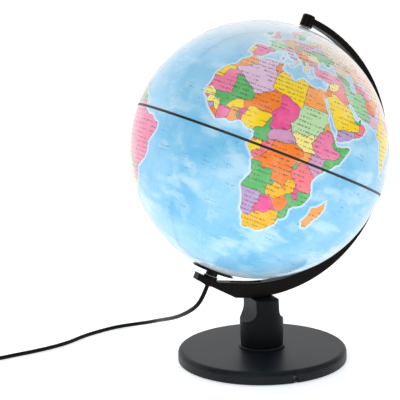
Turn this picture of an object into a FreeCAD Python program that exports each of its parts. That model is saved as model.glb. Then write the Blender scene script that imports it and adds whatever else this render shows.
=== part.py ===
import FreeCAD, Part
import math
import os

# Desktop globe on a stand, lit from inside. Millimetres, +Z up.
# The origin is the middle of the base on the surface that the globe stands on, and the arm lies in the XZ plane.
# Pieces on the polar axis are drawn in a frame of their own, with the ball's centre at zero and north along +Z,
# and are then leaned over and lifted into place.

Vector = FreeCAD.Vector
ORIGIN = Vector(0, 0, 0)
UP = Vector(0, 0, 1)
ACROSS = Vector(0, 1, 0)
ALONG = Vector(1, 0, 0)

# ball
ball_radius = 125.0
ball_wall = 1.5
axis_tilt = 23.5
seam_band_width = 2.2
seam_band_thickness = 0.35
joining_ring_height = 12.0
joining_ring_wall = 1.6
south_hole_radius = 17.0

# fits
running_clearance = 0.05
seat_clearance = 0.1
free_clearance = 0.3

# base
base_radius = 84.5
base_height = 12.7
base_wall = 2.5
rim_lift = 0.6
base_edge_radius = 4.5
base_foot_radius = 0.9
collar_radius = 22.9
collar_height = 2.5
collar_chamfer = 0.8
notch_width = 4.8
notch_height = 7.0
notch_depth = 3.4
ballast_thickness = 3.0
ballast_margin = 4.0
ballast_screw_count = 3
ballast_screw_circle = 46.0
ballast_boss_radius = 4.5
pad_count = 4
pad_radius = 6.5
pad_circle = 66.0
pad_height = 2.6

# pedestal
pedestal_height = 48.6
pedestal_foot_radius = 21.2
pedestal_belly_radius = 21.7
pedestal_top_radius = 20.7
pedestal_wall = 3.6
pedestal_cavity_height = 22.0
pedestal_top_edge = 1.2
pedestal_foot_edge = 0.8
scoop_half_width = 12.0
scoop_radius = 12.8
scoop_drop = 10.2
pedestal_screw_spread = 12.0
pedestal_boss_radius = 4.2

# arm
arm_gap = 6.5
arm_tip_thickness = 6.0
arm_thickening = 5.8
arm_thickening_start = 40.0
arm_width = 12.6
arm_edge = 0.5
arm_foot_gap = 1.0
tail_length = 14.8
tail_inner_drop = 2.3
tail_thickness = 6.7
tail_lean = 5.8
tail_boss_radius = 7.0
tail_boss_rise = 1.4
tail_start_angle = 16.5
tenon_length = 18.0
tenon_width = 11.0
tenon_depth = 20.0
slot_length = 33.0
slot_width = 6.4
slot_depth = 2.6
slot_centre_x = -16.5
eye_drop = 3.4

# north bearing
pin_radius = 2.0
pin_reach = 13.0
cap_height = 2.3
north_bush_radius = 4.0
north_bush_flange_radius = 6.0
north_bush_flange = 1.2

# south bearing and lamp tube
tube_radius = 4.4
tube_bore = 2.6
tube_top_flange_radius = 9.0
tube_top_flange = 2.0
tube_reach = 20.0
collar_length = 1.0
spigot_radius = 3.6
nut_radius = 5.2
nut_height = 2.4
washer_thickness = 0.6
hub_radius = 5.9
hub_reach = 8.0
hub_shoulder_radius = 8.5
hub_shoulder = 2.5
flange_radius = 21.0
flange_thickness = 1.0
flange_seat_radius = 19.0
flange_spigot_wall = 1.8
flange_spigot_length = 5.0

# lamp
holder_radius = 13.0
holder_length = 36.0
holder_wall = 2.2
holder_floor = 4.0
sleeve_radius = 7.1
sleeve_wall = 0.5
sleeve_length = 22.0
contact_radius = 2.6
contact_height = 1.2
bulb_cap_radius = 6.9
bulb_cap_length = 23.0
bulb_radius = 17.5
bulb_neck_length = 14.0

# screws
screw_head_radius = 3.2
screw_head_height = 2.0
screw_shank_radius = 1.5
screw_cross_width = 0.8
screw_cross_depth = 1.0

# cord
cord_radius = 2.05
cord_rest = 2.1
gland_lip = 0.8
gland_lip_radius = 3.8
gland_length = 8.0
first_run = 13.5

# cord switch, which lies along X
switch_centre = Vector(-314.0, 92.0, 0.0)
switch_length = 60.0
switch_width = 22.0
switch_height = 14.0
switch_wall = 2.0
switch_edge = 2.4
switch_entry = 8.0
rocker_radius = 8.4
rocker_width = 8.6
rocker_pivot_height = 10.4
rocker_bottom = 9.2
rocker_rise = 14.9
rocker_angle = 10.0
rocker_pin_radius = 1.2
rocker_pin_reach = 1.8
switch_screw_offset = 21.0

# coil of the spare cord
coil_centre = Vector(-398.0, 65.4, 0.0)
coil_mean_radius = 22.5
coil_half_width = 6.3
coil_height = 12.6
coil_edge = 3.0
tie_width = 5.0
tie_thickness = 0.8
tie_angle = 330.0

# flat two-pin plug, which points along +X
plug_centre = Vector(-351.0, 8.0, 0.0)
plug_length = 36.0
plug_width = 35.3
plug_tail_width = 20.0
plug_height = 13.7
plug_edge = 2.5
plug_pin_radius = 2.0
plug_pin_length = 19.0
plug_pin_spacing = 18.6
plug_pin_inset = 8.0
plug_pin_foot_radius = 2.7
relief_length = 24.0
relief_root_radius = 4.8
relief_tip_radius = 3.0

# worked out from the sizes above
pedestal_foot = base_height + collar_height
pedestal_top = pedestal_foot + pedestal_height
arm_inner_radius = ball_radius + arm_gap
arm_outer_radius = arm_inner_radius + arm_tip_thickness
heel_radius = arm_outer_radius + arm_thickening
heel_drop = arm_thickening * math.cos(math.radians(arm_thickening_start + axis_tilt))
ball_height = pedestal_top + arm_foot_gap + heel_radius + heel_drop
tail_inner = arm_inner_radius + tail_inner_drop
tail_outer = tail_inner + tail_thickness
tail_seat = tail_inner - tail_boss_rise
ballast_radius = base_radius - base_wall - ballast_margin
ballast_top = pad_height + ballast_thickness
ceiling = base_height - base_wall
south_bottom = -ball_radius - flange_thickness - seat_clearance
collar_top = -tail_seat + collar_length
hub_bottom = collar_top + washer_thickness + seat_clearance
flange_top = -ball_radius - seat_clearance
hub_top = flange_top + hub_reach
tube_top = hub_top + tube_reach
holder_bottom = tube_top
exit_height = -tail_outer - gland_lip
sleeve_bottom = holder_bottom + holder_floor + contact_height + 1.5
coil_outer_radius = coil_mean_radius + coil_half_width
plug_back = plug_centre.x - plug_length / 2
plug_front = plug_centre.x + plug_length / 2
plug_axis_height = plug_height / 2
switch_axis_height = switch_height / 2


def on_axis(shape):
    """Takes a piece from the polar frame to its place on the stand."""
    placed = shape.copy()
    placed.rotate(ORIGIN, ACROSS, axis_tilt)
    placed.translate(Vector(0, 0, ball_height))
    return placed


def point_on_axis(height):
    """The point of the polar axis that is this far north of the ball's centre."""
    tilt = math.radians(axis_tilt)
    return Vector(height * math.sin(tilt), 0, ball_height + height * math.cos(tilt))


def rod(radius, bottom, top):
    return Part.makeCylinder(radius, top - bottom, Vector(0, 0, bottom), UP)


def ring(inner, outer, bottom, top):
    return rod(outer, bottom, top).cut(rod(inner, bottom - 1, top + 1))


def turned(outline):
    """A solid of revolution about Z from a closed outline of (radius, height) points."""
    points = [Vector(radius, 0, height) for radius, height in outline]
    face = Part.Face(Part.makePolygon(points + points[:1]))
    return face.revolve(ORIGIN, UP, 360)


def block(length, width, bottom, top, centre=ORIGIN):
    corner = Vector(centre.x - length / 2, centre.y - width / 2, bottom)
    return Part.makeBox(length, width, top - bottom, corner)


def around_ring(count, radius, start=0.0):
    """Centres of equal features on a circle about the origin."""
    step = 2 * math.pi / count
    first = math.radians(start)
    return [Vector(radius * math.cos(first + i * step), radius * math.sin(first + i * step), 0) for i in range(count)]


def moved(shape, place):
    copy = shape.copy()
    copy.translate(place)
    return copy


def joined(shapes):
    whole = shapes[0]
    for shape in shapes[1:]:
        whole = whole.fuse(shape)
    return whole.removeSplitter()


def group(shapes):
    return Part.makeCompound(shapes)


def rounded(shape, radius, chosen):
    """Fillets the edges that chosen() picks out."""
    edges = [edge for edge in shape.Edges if chosen(edge)]
    return shape.makeFillet(radius, edges)


def flat_ring_at(height):
    """Picks out circular edges that lie level at this height."""
    def test(edge):
        box = edge.BoundBox
        return abs(box.ZMin - height) < 1e-6 and abs(box.ZMax - height) < 1e-6
    return test


def screw(length):
    """A pan-head screw pointing up from its head, with the head's underside at zero."""
    head = rod(screw_head_radius, -screw_head_height, 0)
    cross = block(2 * screw_head_radius - 2, screw_cross_width, -screw_head_height, screw_cross_depth - screw_head_height)
    turned_cross = cross.copy()
    turned_cross.rotate(ORIGIN, UP, 90)
    return head.fuse(rod(screw_shank_radius, 0, length)).cut(cross).cut(turned_cross).removeSplitter()


# ---- base ----

def base_shell():
    """The moulded disc: a flat top with a round edge, hollow below, with a raised collar for the pedestal."""
    disc = rod(base_radius, rim_lift, base_height)
    disc = rounded(disc, base_edge_radius, flat_ring_at(base_height))
    disc = rounded(disc, base_foot_radius, flat_ring_at(rim_lift))
    hollow = rod(base_radius - base_wall, rim_lift - 1, ceiling)
    hollow = rounded(hollow, base_edge_radius - base_wall / 2, flat_ring_at(ceiling))
    collar = rod(collar_radius, ceiling, pedestal_foot)
    collar = collar.makeChamfer(collar_chamfer, [e for e in collar.Edges if flat_ring_at(pedestal_foot)(e)])
    bosses = [moved(rod(ballast_boss_radius, ballast_top, ceiling + 0.5), place) for place in ballast_places()]
    shell = joined([disc.cut(hollow), collar] + bosses)
    for place in ballast_places():
        shell = shell.cut(moved(rod(screw_shank_radius, ballast_top - 1, ceiling + 0.4), place))
    for place in pedestal_screw_places():
        shell = shell.cut(moved(rod(screw_shank_radius + free_clearance, ceiling - 1, pedestal_foot + 1), place))
    notch_middle = Vector(0, -base_radius, 0)
    return shell.cut(block(notch_width, 2 * notch_depth, 0, rim_lift + notch_height, notch_middle))


def ballast_places():
    return around_ring(ballast_screw_count, ballast_screw_circle, 30)


def pedestal_screw_places():
    return [Vector(0, side * pedestal_screw_spread, 0) for side in (-1, 1)]


def ballast_plate():
    """The steel disc that makes the foot heavy, with holes that the pedestal's screws are reached through."""
    plate = rod(ballast_radius, pad_height, ballast_top)
    for place in ballast_places():
        plate = plate.cut(moved(rod(screw_shank_radius + free_clearance, 0, base_height), place))
    for place in pedestal_screw_places():
        plate = plate.cut(moved(rod(screw_head_radius + 1.5, 0, base_height), place))
    return plate


def ballast_screws():
    length = ceiling - pad_height
    return group([moved(screw(length), place + Vector(0, 0, pad_height)) for place in ballast_places()])


def foot_pads():
    """Soft discs stuck under the ballast plate: one in the middle and the others near the edge."""
    pad = rounded(rod(pad_radius, 0, pad_height), 0.8, flat_ring_at(0))
    return group([moved(pad, place) for place in [ORIGIN] + around_ring(pad_count, pad_circle, 45)])


# ---- pedestal ----

def pedestal():
    """A stout post with two scooped sides, hollow from below, with a socket for the arm's tenon in its top."""
    side_middle = pedestal_foot + 0.25 * pedestal_height
    side = Part.Arc(Vector(pedestal_foot_radius, 0, pedestal_foot),
                    Vector(pedestal_belly_radius, 0, side_middle),
                    Vector(pedestal_top_radius, 0, pedestal_top)).toShape()
    corners = [Vector(pedestal_top_radius, 0, pedestal_top), Vector(0, 0, pedestal_top),
               Vector(0, 0, pedestal_foot), Vector(pedestal_foot_radius, 0, pedestal_foot)]
    face = Part.Face(Part.Wire([side] + Part.makePolygon(corners).Edges))
    post = face.revolve(ORIGIN, UP, 360)
    post = rounded(post, pedestal_top_edge, flat_ring_at(pedestal_top))
    post = rounded(post, pedestal_foot_edge, flat_ring_at(pedestal_foot))
    scoop_height = pedestal_top - scoop_drop
    reach = 2 * pedestal_belly_radius
    for side_x in (-1, 1):
        flat = block(reach, 2 * reach, scoop_height, pedestal_top + 1, Vector(side_x * (scoop_half_width + reach / 2), 0, 0))
        curve_middle = Vector(side_x * (scoop_half_width + scoop_radius), -reach, scoop_height)
        curve = Part.makeCylinder(scoop_radius, 2 * reach, curve_middle, ACROSS)
        post = post.cut(flat.fuse(curve))
    cavity_top = pedestal_foot + pedestal_cavity_height
    post = post.cut(rod(pedestal_foot_radius - pedestal_wall, pedestal_foot - 1, cavity_top))
    bosses = [moved(rod(pedestal_boss_radius, pedestal_foot, cavity_top + 0.5), place) for place in pedestal_screw_places()]
    post = joined([post] + bosses)
    for place in pedestal_screw_places():
        post = post.cut(moved(rod(screw_shank_radius, pedestal_foot - 1, cavity_top - 4), place))
    socket = block(tenon_length + 2 * seat_clearance, tenon_width + 2 * seat_clearance,
                   pedestal_top - tenon_depth - seat_clearance, pedestal_top + 1)
    post = post.cut(socket)
    return post.cut(rod(screw_shank_radius + free_clearance, cavity_top - 1, pedestal_top))


def pedestal_screws():
    length = pedestal_foot - ceiling + pedestal_cavity_height - 6
    return group([moved(screw(length), place + Vector(0, 0, ceiling)) for place in pedestal_screw_places()])


def arm_screw():
    """Goes up from the pedestal's hollow into the arm's tenon."""
    cavity_top = pedestal_foot + pedestal_cavity_height
    length = pedestal_top - 6 - cavity_top
    return moved(screw(length), Vector(0, 0, cavity_top))


# ---- arm ----

def polar_point(radius, angle):
    """A point in the arm's plane, at this angle from north towards the arm's side."""
    return Vector(radius * math.sin(math.radians(angle)), 0, radius * math.cos(math.radians(angle)))


def tail_point(depth, along):
    """A point of the tail, this far along it from the polar axis: the tail leans a little towards the ball."""
    return Vector(along, 0, -depth - along * math.tan(math.radians(tail_lean)))


def far_crossing(start, end, centre, radius):
    """Where the line from start through end leaves a circle in the arm's plane."""
    along = (end - start).normalize()
    nearest = start + along * (centre - start).dot(along)
    return nearest + along * math.sqrt(radius ** 2 - (nearest - centre).Length ** 2)


def arm_outline():
    """The side view of the arm in the polar frame: a C that thickens below its middle, with a straight tail."""
    middle = arm_thickening_start
    heel_centre = polar_point(-arm_thickening, middle)
    kink = far_crossing(tail_point(tail_outer, -tail_length), tail_point(tail_outer, 0), heel_centre, heel_radius)
    kink_direction = kink - heel_centre
    kink_angle = math.degrees(math.atan2(kink_direction.x, kink_direction.z))
    leave_angle = 180 - tail_start_angle
    leave = polar_point(arm_inner_radius, leave_angle)
    start = math.radians(tail_start_angle)
    lean = math.tan(math.radians(tail_lean))
    reach = (leave.z + tail_inner + lean * leave.x) / (math.sin(start) + lean * math.cos(start))
    bend = leave - Vector(math.cos(start), 0, math.sin(start)) * reach
    inner_end = tail_point(tail_inner, -tail_length)
    outer_end = tail_point(tail_outer, -tail_length)
    tip_inner = polar_point(arm_inner_radius, 0)
    tip_outer = polar_point(arm_outer_radius, 0)
    meet = polar_point(arm_outer_radius, middle)
    heel_middle = heel_centre + polar_point(heel_radius, (middle + kink_angle) / 2)
    return [
        Part.Arc(tip_inner, polar_point(arm_inner_radius, leave_angle / 2), leave).toShape(),
        Part.makeLine(leave, bend),
        Part.makeLine(bend, inner_end),
        Part.makeLine(inner_end, outer_end),
        Part.makeLine(outer_end, kink),
        Part.Arc(kink, heel_middle, meet).toShape(),
        Part.Arc(meet, polar_point(arm_outer_radius, middle / 2), tip_outer).toShape(),
        Part.makeLine(tip_outer, tip_inner),
    ]


def meridian_arm():
    """The moulded C-shaped arm, with an eye for the north pin, a bored tail for the lamp tube and a tenon below."""
    face = Part.Face(Part.Wire(arm_outline()))
    face.translate(Vector(0, -arm_width / 2, 0))
    strap = face.extrude(Vector(0, arm_width, 0))
    strap = rounded(strap, arm_edge, lambda edge: edge.BoundBox.YLength < 1e-6)
    eye = rod(arm_width / 2, arm_inner_radius - eye_drop, arm_outer_radius + seat_clearance)
    boss = rod(tail_boss_radius, -tail_outer, -tail_seat)
    strap = joined([strap, eye, boss])
    strap = strap.cut(rod(pin_radius, arm_inner_radius - eye_drop - 1, arm_outer_radius - 1))
    strap = strap.cut(rod(spigot_radius, -tail_outer - 1, -tail_seat + 1))
    strap = strap.cut(rod(nut_radius + seat_clearance, -tail_outer - 1, -tail_outer + nut_height + seat_clearance))
    arm = on_axis(strap)
    tenon = block(tenon_length, tenon_width, pedestal_top - tenon_depth, pedestal_top + arm_foot_gap + 3)
    arm = joined([arm, tenon])
    arm = arm.cut(rod(screw_shank_radius, pedestal_top - tenon_depth - 1, pedestal_top - 4))
    return arm.cut(arm_slot())


def arm_slot():
    """The shallow slot in the arm's inner face, above the pedestal."""
    lean = math.degrees(math.asin(slot_centre_x / arm_inner_radius))
    depth_centre = arm_inner_radius
    slot = block(slot_length, slot_width, -depth_centre - slot_depth, -depth_centre + 3 * slot_depth)
    slot.rotate(ORIGIN, ACROSS, -lean)
    slot.translate(Vector(0, 0, ball_height))
    return slot


# ---- north bearing ----

def north_pin():
    bottom = ball_radius - pin_reach
    pin = rod(pin_radius, bottom, arm_outer_radius - 1)
    return on_axis(rounded(pin, 0.8, flat_ring_at(bottom)))


def north_cap():
    """The domed cap that closes the arm's eye."""
    bottom = arm_outer_radius + seat_clearance
    cap = rod(arm_width / 2, bottom, bottom + cap_height)
    return on_axis(rounded(cap, 0.8 * cap_height, flat_ring_at(bottom + cap_height)))


def north_bush():
    """The plastic bush in the ball's north hole, with a flange inside and outside the skin."""
    outer_bottom = ball_radius + running_clearance
    inner_top = math.sqrt((ball_radius - ball_wall) ** 2 - north_bush_flange_radius ** 2) - running_clearance
    body = joined([
        rod(north_bush_radius - running_clearance, inner_top - 3 * north_bush_flange, outer_bottom + north_bush_flange),
        rod(north_bush_flange_radius, outer_bottom, outer_bottom + north_bush_flange),
        rod(north_bush_flange_radius, inner_top - north_bush_flange, inner_top),
    ])
    return on_axis(body.cut(rod(pin_radius + running_clearance, 0, 2 * ball_radius)))


# ---- ball ----

def half_ball(side):
    """One half of the plastic skin: side is 1 for the north half and -1 for the south half."""
    skin = Part.makeSphere(ball_radius).cut(Part.makeSphere(ball_radius - ball_wall))
    size = 3 * ball_radius
    bottom = 0 if side > 0 else -size
    return skin.common(block(size, size, bottom, bottom + size))


def north_half():
    return on_axis(half_ball(1).cut(rod(north_bush_radius, 0, 2 * ball_radius)))


def south_half():
    return on_axis(half_ball(-1).cut(rod(south_hole_radius, -2 * ball_radius, 0)))


def seam_band():
    """The thin dark band that covers the joint of the two halves and stands for the equator."""
    half = seam_band_width / 2
    return on_axis(ring(ball_radius, ball_radius + seam_band_thickness, -half, half))


def joining_ring():
    """The ring inside the equator that the two halves are bonded to."""
    half = joining_ring_height / 2
    outer = math.sqrt((ball_radius - ball_wall) ** 2 - half ** 2) - running_clearance
    return on_axis(ring(outer - joining_ring_wall, outer, -half, half))


# ---- south bearing ----

def south_flange():
    """The disc under the ball: it seats on the skin, and its inner ring clips into the south hole."""
    seat = -math.sqrt(ball_radius ** 2 - south_hole_radius ** 2) - running_clearance
    clip = south_hole_radius - seat_clearance
    return on_axis(turned([
        (hub_radius, south_bottom), (flange_radius, south_bottom), (flange_radius, flange_top),
        (flange_seat_radius, flange_top), (flange_seat_radius, seat), (clip, seat),
        (clip, seat + flange_spigot_length), (clip - flange_spigot_wall, seat + flange_spigot_length),
        (clip - flange_spigot_wall, flange_top), (hub_radius, flange_top),
    ]))


def south_bush():
    """The hub that turns on the lamp tube and carries the flange."""
    body = joined([
        rod(hub_radius, hub_bottom, hub_top),
        rod(hub_shoulder_radius, flange_top, flange_top + hub_shoulder),
    ])
    return on_axis(body.cut(rod(tube_radius + running_clearance, hub_bottom - 1, hub_top + 1)))


def thrust_washer():
    return on_axis(ring(tube_radius + running_clearance, hub_radius, collar_top, collar_top + washer_thickness))


def lamp_tube():
    """The fixed tube that the ball turns on: it is nutted to the arm's tail and carries the lamp holder."""
    body = joined([
        rod(spigot_radius, -tail_outer + 0.4, -tail_seat),
        rod(tail_boss_radius, -tail_seat, collar_top),
        rod(tube_radius, collar_top, tube_top),
        rod(tube_top_flange_radius, tube_top - tube_top_flange, tube_top),
    ])
    return on_axis(body.cut(rod(tube_bore, -tail_outer - 1, tube_top + 1)))


def tube_nut():
    """The round nut that holds the lamp tube, with two slots for a spanner."""
    bottom = -tail_outer + 0.1
    nut = ring(spigot_radius, nut_radius, bottom, bottom + nut_height)
    return on_axis(nut.cut(block(2 * nut_radius + 2, 1.4, bottom - 1, bottom + 0.9)))


def cord_gland():
    """The soft bush that the cord leaves through, with a lip outside the arm."""
    sleeve = ring(cord_radius, tube_bore, exit_height, exit_height + gland_length)
    lip = ring(cord_radius, gland_lip_radius, exit_height, -tail_outer)
    return on_axis(joined([sleeve, lip]))


def inner_lead():
    """The cord's own end inside the tube, up to the lamp holder."""
    return on_axis(rod(cord_radius, exit_height, holder_bottom + holder_floor))


# ---- lamp ----

def lamp_holder():
    cup = rod(holder_radius, holder_bottom, holder_bottom + holder_length)
    cup = rounded(cup, 2.0, flat_ring_at(holder_bottom))
    cup = cup.cut(rod(holder_radius - holder_wall, holder_bottom + holder_floor, holder_bottom + holder_length + 1))
    return on_axis(cup.cut(rod(cord_radius, holder_bottom - 1, holder_bottom + holder_floor + 1)))


def lamp_sleeve():
    """The brass screw sleeve that is the lamp's side contact, on a flange that meets the holder's wall."""
    bottom = sleeve_bottom
    sleeve = ring(sleeve_radius, sleeve_radius + sleeve_wall, bottom, bottom + sleeve_length)
    web = ring(sleeve_radius, holder_radius - holder_wall, bottom + 6, bottom + 6 + sleeve_wall)
    return on_axis(joined([sleeve, web]))


def lamp_contact():
    """The brass spring contact on the holder's floor."""
    bottom = holder_bottom + holder_floor
    strip = block(2 * (holder_radius - holder_wall) - 4, 3.0, bottom, bottom + 0.4)
    return on_axis(joined([strip, rod(contact_radius, bottom, bottom + contact_height)]))


def bulb_cap():
    """The bulb's screw cap, with the contact stud at its foot."""
    stud_bottom = holder_bottom + holder_floor + contact_height
    bottom = stud_bottom + 2.5
    outline = [(0, stud_bottom), (2.0, stud_bottom), (bulb_cap_radius - 1.2, bottom), (bulb_cap_radius, bottom + 1.5),
               (bulb_cap_radius, bottom + bulb_cap_length), (0, bottom + bulb_cap_length)]
    return on_axis(turned(outline))


def bulb_glass():
    """A small round bulb that grows out of its cap."""
    bottom = holder_bottom + holder_floor + contact_height + 2.5 + bulb_cap_length
    centre = bottom + bulb_neck_length + bulb_radius / 2
    bulb = joined([rod(bulb_cap_radius - 0.2, bottom, centre), Part.makeSphere(bulb_radius, Vector(0, 0, centre))])
    return on_axis(bulb)


# ---- cord ----

def cord_route():
    """From the gland, down and back to the surface, round to the side, and up into the switch."""
    start = point_on_axis(exit_height)
    below = point_on_axis(exit_height - first_run)
    entry = switch_centre + Vector(switch_length / 2, 0, switch_axis_height)
    return [
        start, below,
        Vector(-65.5, 9.5, 55.5), Vector(-67, 32, 46.5), Vector(-68.5, 61, 35), Vector(-69.5, 92, 25),
        Vector(-72, 121, 15.5), Vector(-77.5, 143, 8), Vector(-90, 157.5, 3.4), Vector(-110, 160, cord_rest),
        Vector(-133, 150.5, cord_rest), Vector(-153, 139.5, cord_rest), Vector(-170, 125, cord_rest),
        Vector(-188, 115.5, cord_rest), Vector(-211, 107.5, cord_rest), Vector(-233, 102.8, cord_rest),
        Vector(-252, 97.5, cord_rest), Vector(-266, 93.8, 3.6),
        entry + Vector(6, 0, 0), entry - Vector(switch_entry, 0, 0),
    ]


def switch_route():
    """Out of the switch's far end and down to the coil's outer turn."""
    leave = switch_centre + Vector(-switch_length / 2, 0, switch_axis_height)
    return [
        leave + Vector(switch_entry, 0, 0), leave - Vector(6, 0, 0),
        Vector(-362, 92.3, 3.6), Vector(-376, 92.1, cord_rest), Vector(-390, 91.0, cord_rest),
    ]


def plug_route():
    """From the coil's top turn, down beside the coil and round to the plug's strain relief."""
    tip = Vector(plug_back - relief_length, plug_centre.y, plug_axis_height)
    return [
        Vector(-420, 60, 10.3), Vector(-420.5, 45, 9.6), Vector(-419, 30, 6.6), Vector(-411.5, 16, 4.4),
        Vector(-402, 9.4, 5.4), tip,
    ]


def bend_radius(before, corner, after):
    """The largest fair arc at a corner of the cord's route."""
    half_turn = (corner - before).getAngle(after - corner) / 2
    shorter = min((corner - before).Length, (after - corner).Length)
    return 0.45 * shorter / math.tan(half_turn)


def cord_tube(name, route):
    """A round tube along straight runs that are joined by tangent arcs."""
    edges = []
    radii = []
    last = route[0]
    for before, corner, after in zip(route, route[1:], route[2:]):
        into = (corner - before).normalize()
        out = (after - corner).normalize()
        half_turn = into.getAngle(out) / 2
        radius = bend_radius(before, corner, after)
        reach = radius * math.tan(half_turn)
        begin = corner - into * reach
        end = corner + out * reach
        towards = (out - into).normalize()
        middle = corner + towards * (radius / math.cos(half_turn) - radius)
        edges += [Part.makeLine(last, begin), Part.Arc(begin, middle, end).toShape()]
        radii.append(radius)
        last = end
    edges.append(Part.makeLine(last, route[-1]))
    path = Part.Wire(edges)
    section = Part.Wire(Part.makeCircle(cord_radius, route[0], route[1] - route[0]))
    tube = path.makePipeShell([section], True, False)
    expected = math.pi * cord_radius ** 2 * path.Length
    print(name, "length", round(path.Length, 1), "volume ratio", round(tube.Volume / expected, 4),
          "radii", [round(radius, 1) for radius in radii])
    return tube


def cord_coil():
    """The outer shape of the neat coil that holds the spare cord."""
    body = ring(coil_mean_radius - coil_half_width, coil_outer_radius, 0, coil_height)
    body = rounded(body, coil_edge, lambda edge: flat_ring_at(0)(edge) or flat_ring_at(coil_height)(edge))
    return moved(body, coil_centre)


def coil_tie():
    """The strap round the coil's turns: it lies on top and down both sides."""
    outer = block(2 * (coil_half_width + tie_thickness), tie_width, 0, coil_height + tie_thickness)
    inner = block(2 * coil_half_width, tie_width + 2, -1, coil_height)
    strap = outer.cut(inner)
    strap.translate(Vector(coil_mean_radius, 0, 0))
    strap.rotate(ORIGIN, UP, tie_angle)
    curved = strap.cut(ring(coil_mean_radius - coil_half_width, coil_outer_radius, -1, coil_height))
    return moved(curved, coil_centre)


# ---- cord switch ----

def switch_case(bottom, top):
    """The hollow case between two levels, drawn at the origin with the cord's entries along X."""
    outer = block(switch_length, switch_width, 0, switch_height)
    outer = rounded(outer, 2 * switch_edge, lambda edge: edge.BoundBox.ZLength > 1)
    outer = rounded(outer, switch_edge, lambda edge: flat_ring_at(0)(edge) or flat_ring_at(switch_height)(edge))
    inner = block(switch_length - 2 * switch_entry, switch_width - 2 * switch_wall, switch_wall, switch_height - switch_wall)
    entry = Part.makeCylinder(cord_radius, switch_length + 2, Vector(-switch_length / 2 - 1, 0, switch_axis_height), ALONG)
    case = outer.cut(inner).cut(entry)
    return case.common(block(switch_length + 2, switch_width + 2, bottom, top))


def switch_screw_places():
    return [Vector(side * switch_screw_offset, across, 0) for side in (-1, 1) for across in (-5.6, 5.6)]


def switch_lower_case():
    case = switch_case(0, switch_axis_height)
    for place in switch_screw_places():
        case = case.fuse(moved(rod(2.6, 0.8, switch_axis_height), place))
        case = case.cut(moved(rod(screw_shank_radius - 0.3, -1, switch_axis_height + 1), place))
        case = case.cut(moved(rod(2.1, -1, 1.9), place))
    return moved(case.removeSplitter(), switch_centre)


def switch_upper_case():
    """The upper half, with the rocker's window and two cheeks that carry the rocker's pins."""
    case = switch_case(switch_axis_height, switch_height)
    for place in switch_screw_places():
        case = case.fuse(moved(rod(2.6, switch_axis_height, switch_height - 1), place))
        case = case.cut(moved(rod(screw_shank_radius - 0.3, switch_axis_height - 1, switch_height - 3), place))
    cheek_inside = rocker_width / 2 + free_clearance
    for side in (-1, 1):
        cheek = block(7.0, 2.4, switch_axis_height + 0.6, switch_height - 1, Vector(0, side * (cheek_inside + 1.2), 0))
        case = case.fuse(cheek)
    window = block(2 * (rocker_radius + free_clearance), 2 * cheek_inside, switch_axis_height - 1, switch_height + 1)
    case = case.cut(window)
    return moved(case.cut(rocker_pins(rocker_pin_radius + running_clearance, free_clearance)).removeSplitter(), switch_centre)


def rocker_pins(radius, extra):
    """The rocker's two pins in one rod, at the origin."""
    half = rocker_width / 2 + rocker_pin_reach + extra
    return Part.makeCylinder(radius, 2 * half, Vector(0, -half, rocker_pivot_height), ACROSS)


def switch_rocker():
    """The rocker in its off position: round ends about the pivot, and a shallow V on top."""
    pivot = Vector(0, 0, rocker_pivot_height)
    round_body = Part.makeCylinder(rocker_radius, rocker_width, pivot - Vector(0, rocker_width / 2, 0), ACROSS)
    rise = rocker_radius * math.tan(math.radians(rocker_angle))
    outline = [Vector(-rocker_radius, 0, rocker_bottom), Vector(rocker_radius, 0, rocker_bottom),
               Vector(rocker_radius, 0, rocker_rise + rise), Vector(0, 0, rocker_rise),
               Vector(-rocker_radius, 0, rocker_rise + rise)]
    face = Part.Face(Part.makePolygon(outline + outline[:1]))
    face.translate(Vector(0, -rocker_width / 2, 0))
    body = face.extrude(Vector(0, rocker_width, 0)).common(round_body)
    rocker = joined([body, rocker_pins(rocker_pin_radius, 0)])
    rocker.rotate(pivot, ACROSS, -rocker_angle)
    return moved(rocker, switch_centre)


def switch_screws():
    """Small screws up through the lower case."""
    head = rod(2.0, 0.5, 1.8).fuse(rod(screw_shank_radius - 0.3, 1.8, switch_height - 3.5))
    small = head.cut(block(3.0, 0.6, 0.4, 1.0)).removeSplitter()
    return group([moved(small, place + switch_centre) for place in switch_screw_places()])


# ---- plug ----

def plug_body():
    """The flat moulded plug, narrower towards the cord, with a recessed grip on each side."""
    front = plug_length / 2
    half = plug_width / 2
    tail = plug_tail_width / 2
    outline = [Vector(front, -half, 0), Vector(front, half, 0), Vector(0.2 * front, half, 0), Vector(-front, tail, 0),
               Vector(-front, -tail, 0), Vector(0.2 * front, -half, 0)]
    face = Part.Face(Part.makePolygon(outline + outline[:1]))
    body = face.extrude(Vector(0, 0, plug_height))
    body = rounded(body, plug_edge, lambda edge: edge.BoundBox.XMax < front - 0.5)
    for side in (-1, 1):
        bottom = Vector(front - plug_pin_inset, side * plug_pin_spacing / 2, plug_axis_height)
        body = body.cut(Part.makeCylinder(plug_pin_foot_radius, plug_pin_inset + 1, bottom, ALONG))
    return moved(body, plug_centre)


def plug_pins():
    """Two round brass pins with rounded tips, each on a thicker foot that the moulding holds."""
    pins = []
    for side in (-1, 1):
        root = Vector(plug_front, plug_centre.y + side * plug_pin_spacing / 2, plug_axis_height)
        pin = Part.makeCylinder(plug_pin_radius, plug_pin_length, root, ALONG)
        tip = plug_front + plug_pin_length
        pin = rounded(pin, 0.8 * plug_pin_radius, lambda edge: edge.BoundBox.XMin > tip - 0.1)
        foot = Part.makeCylinder(plug_pin_foot_radius, plug_pin_inset, root - Vector(plug_pin_inset, 0, 0), ALONG)
        pins.append(pin.fuse(foot))
    return group(pins)


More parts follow.
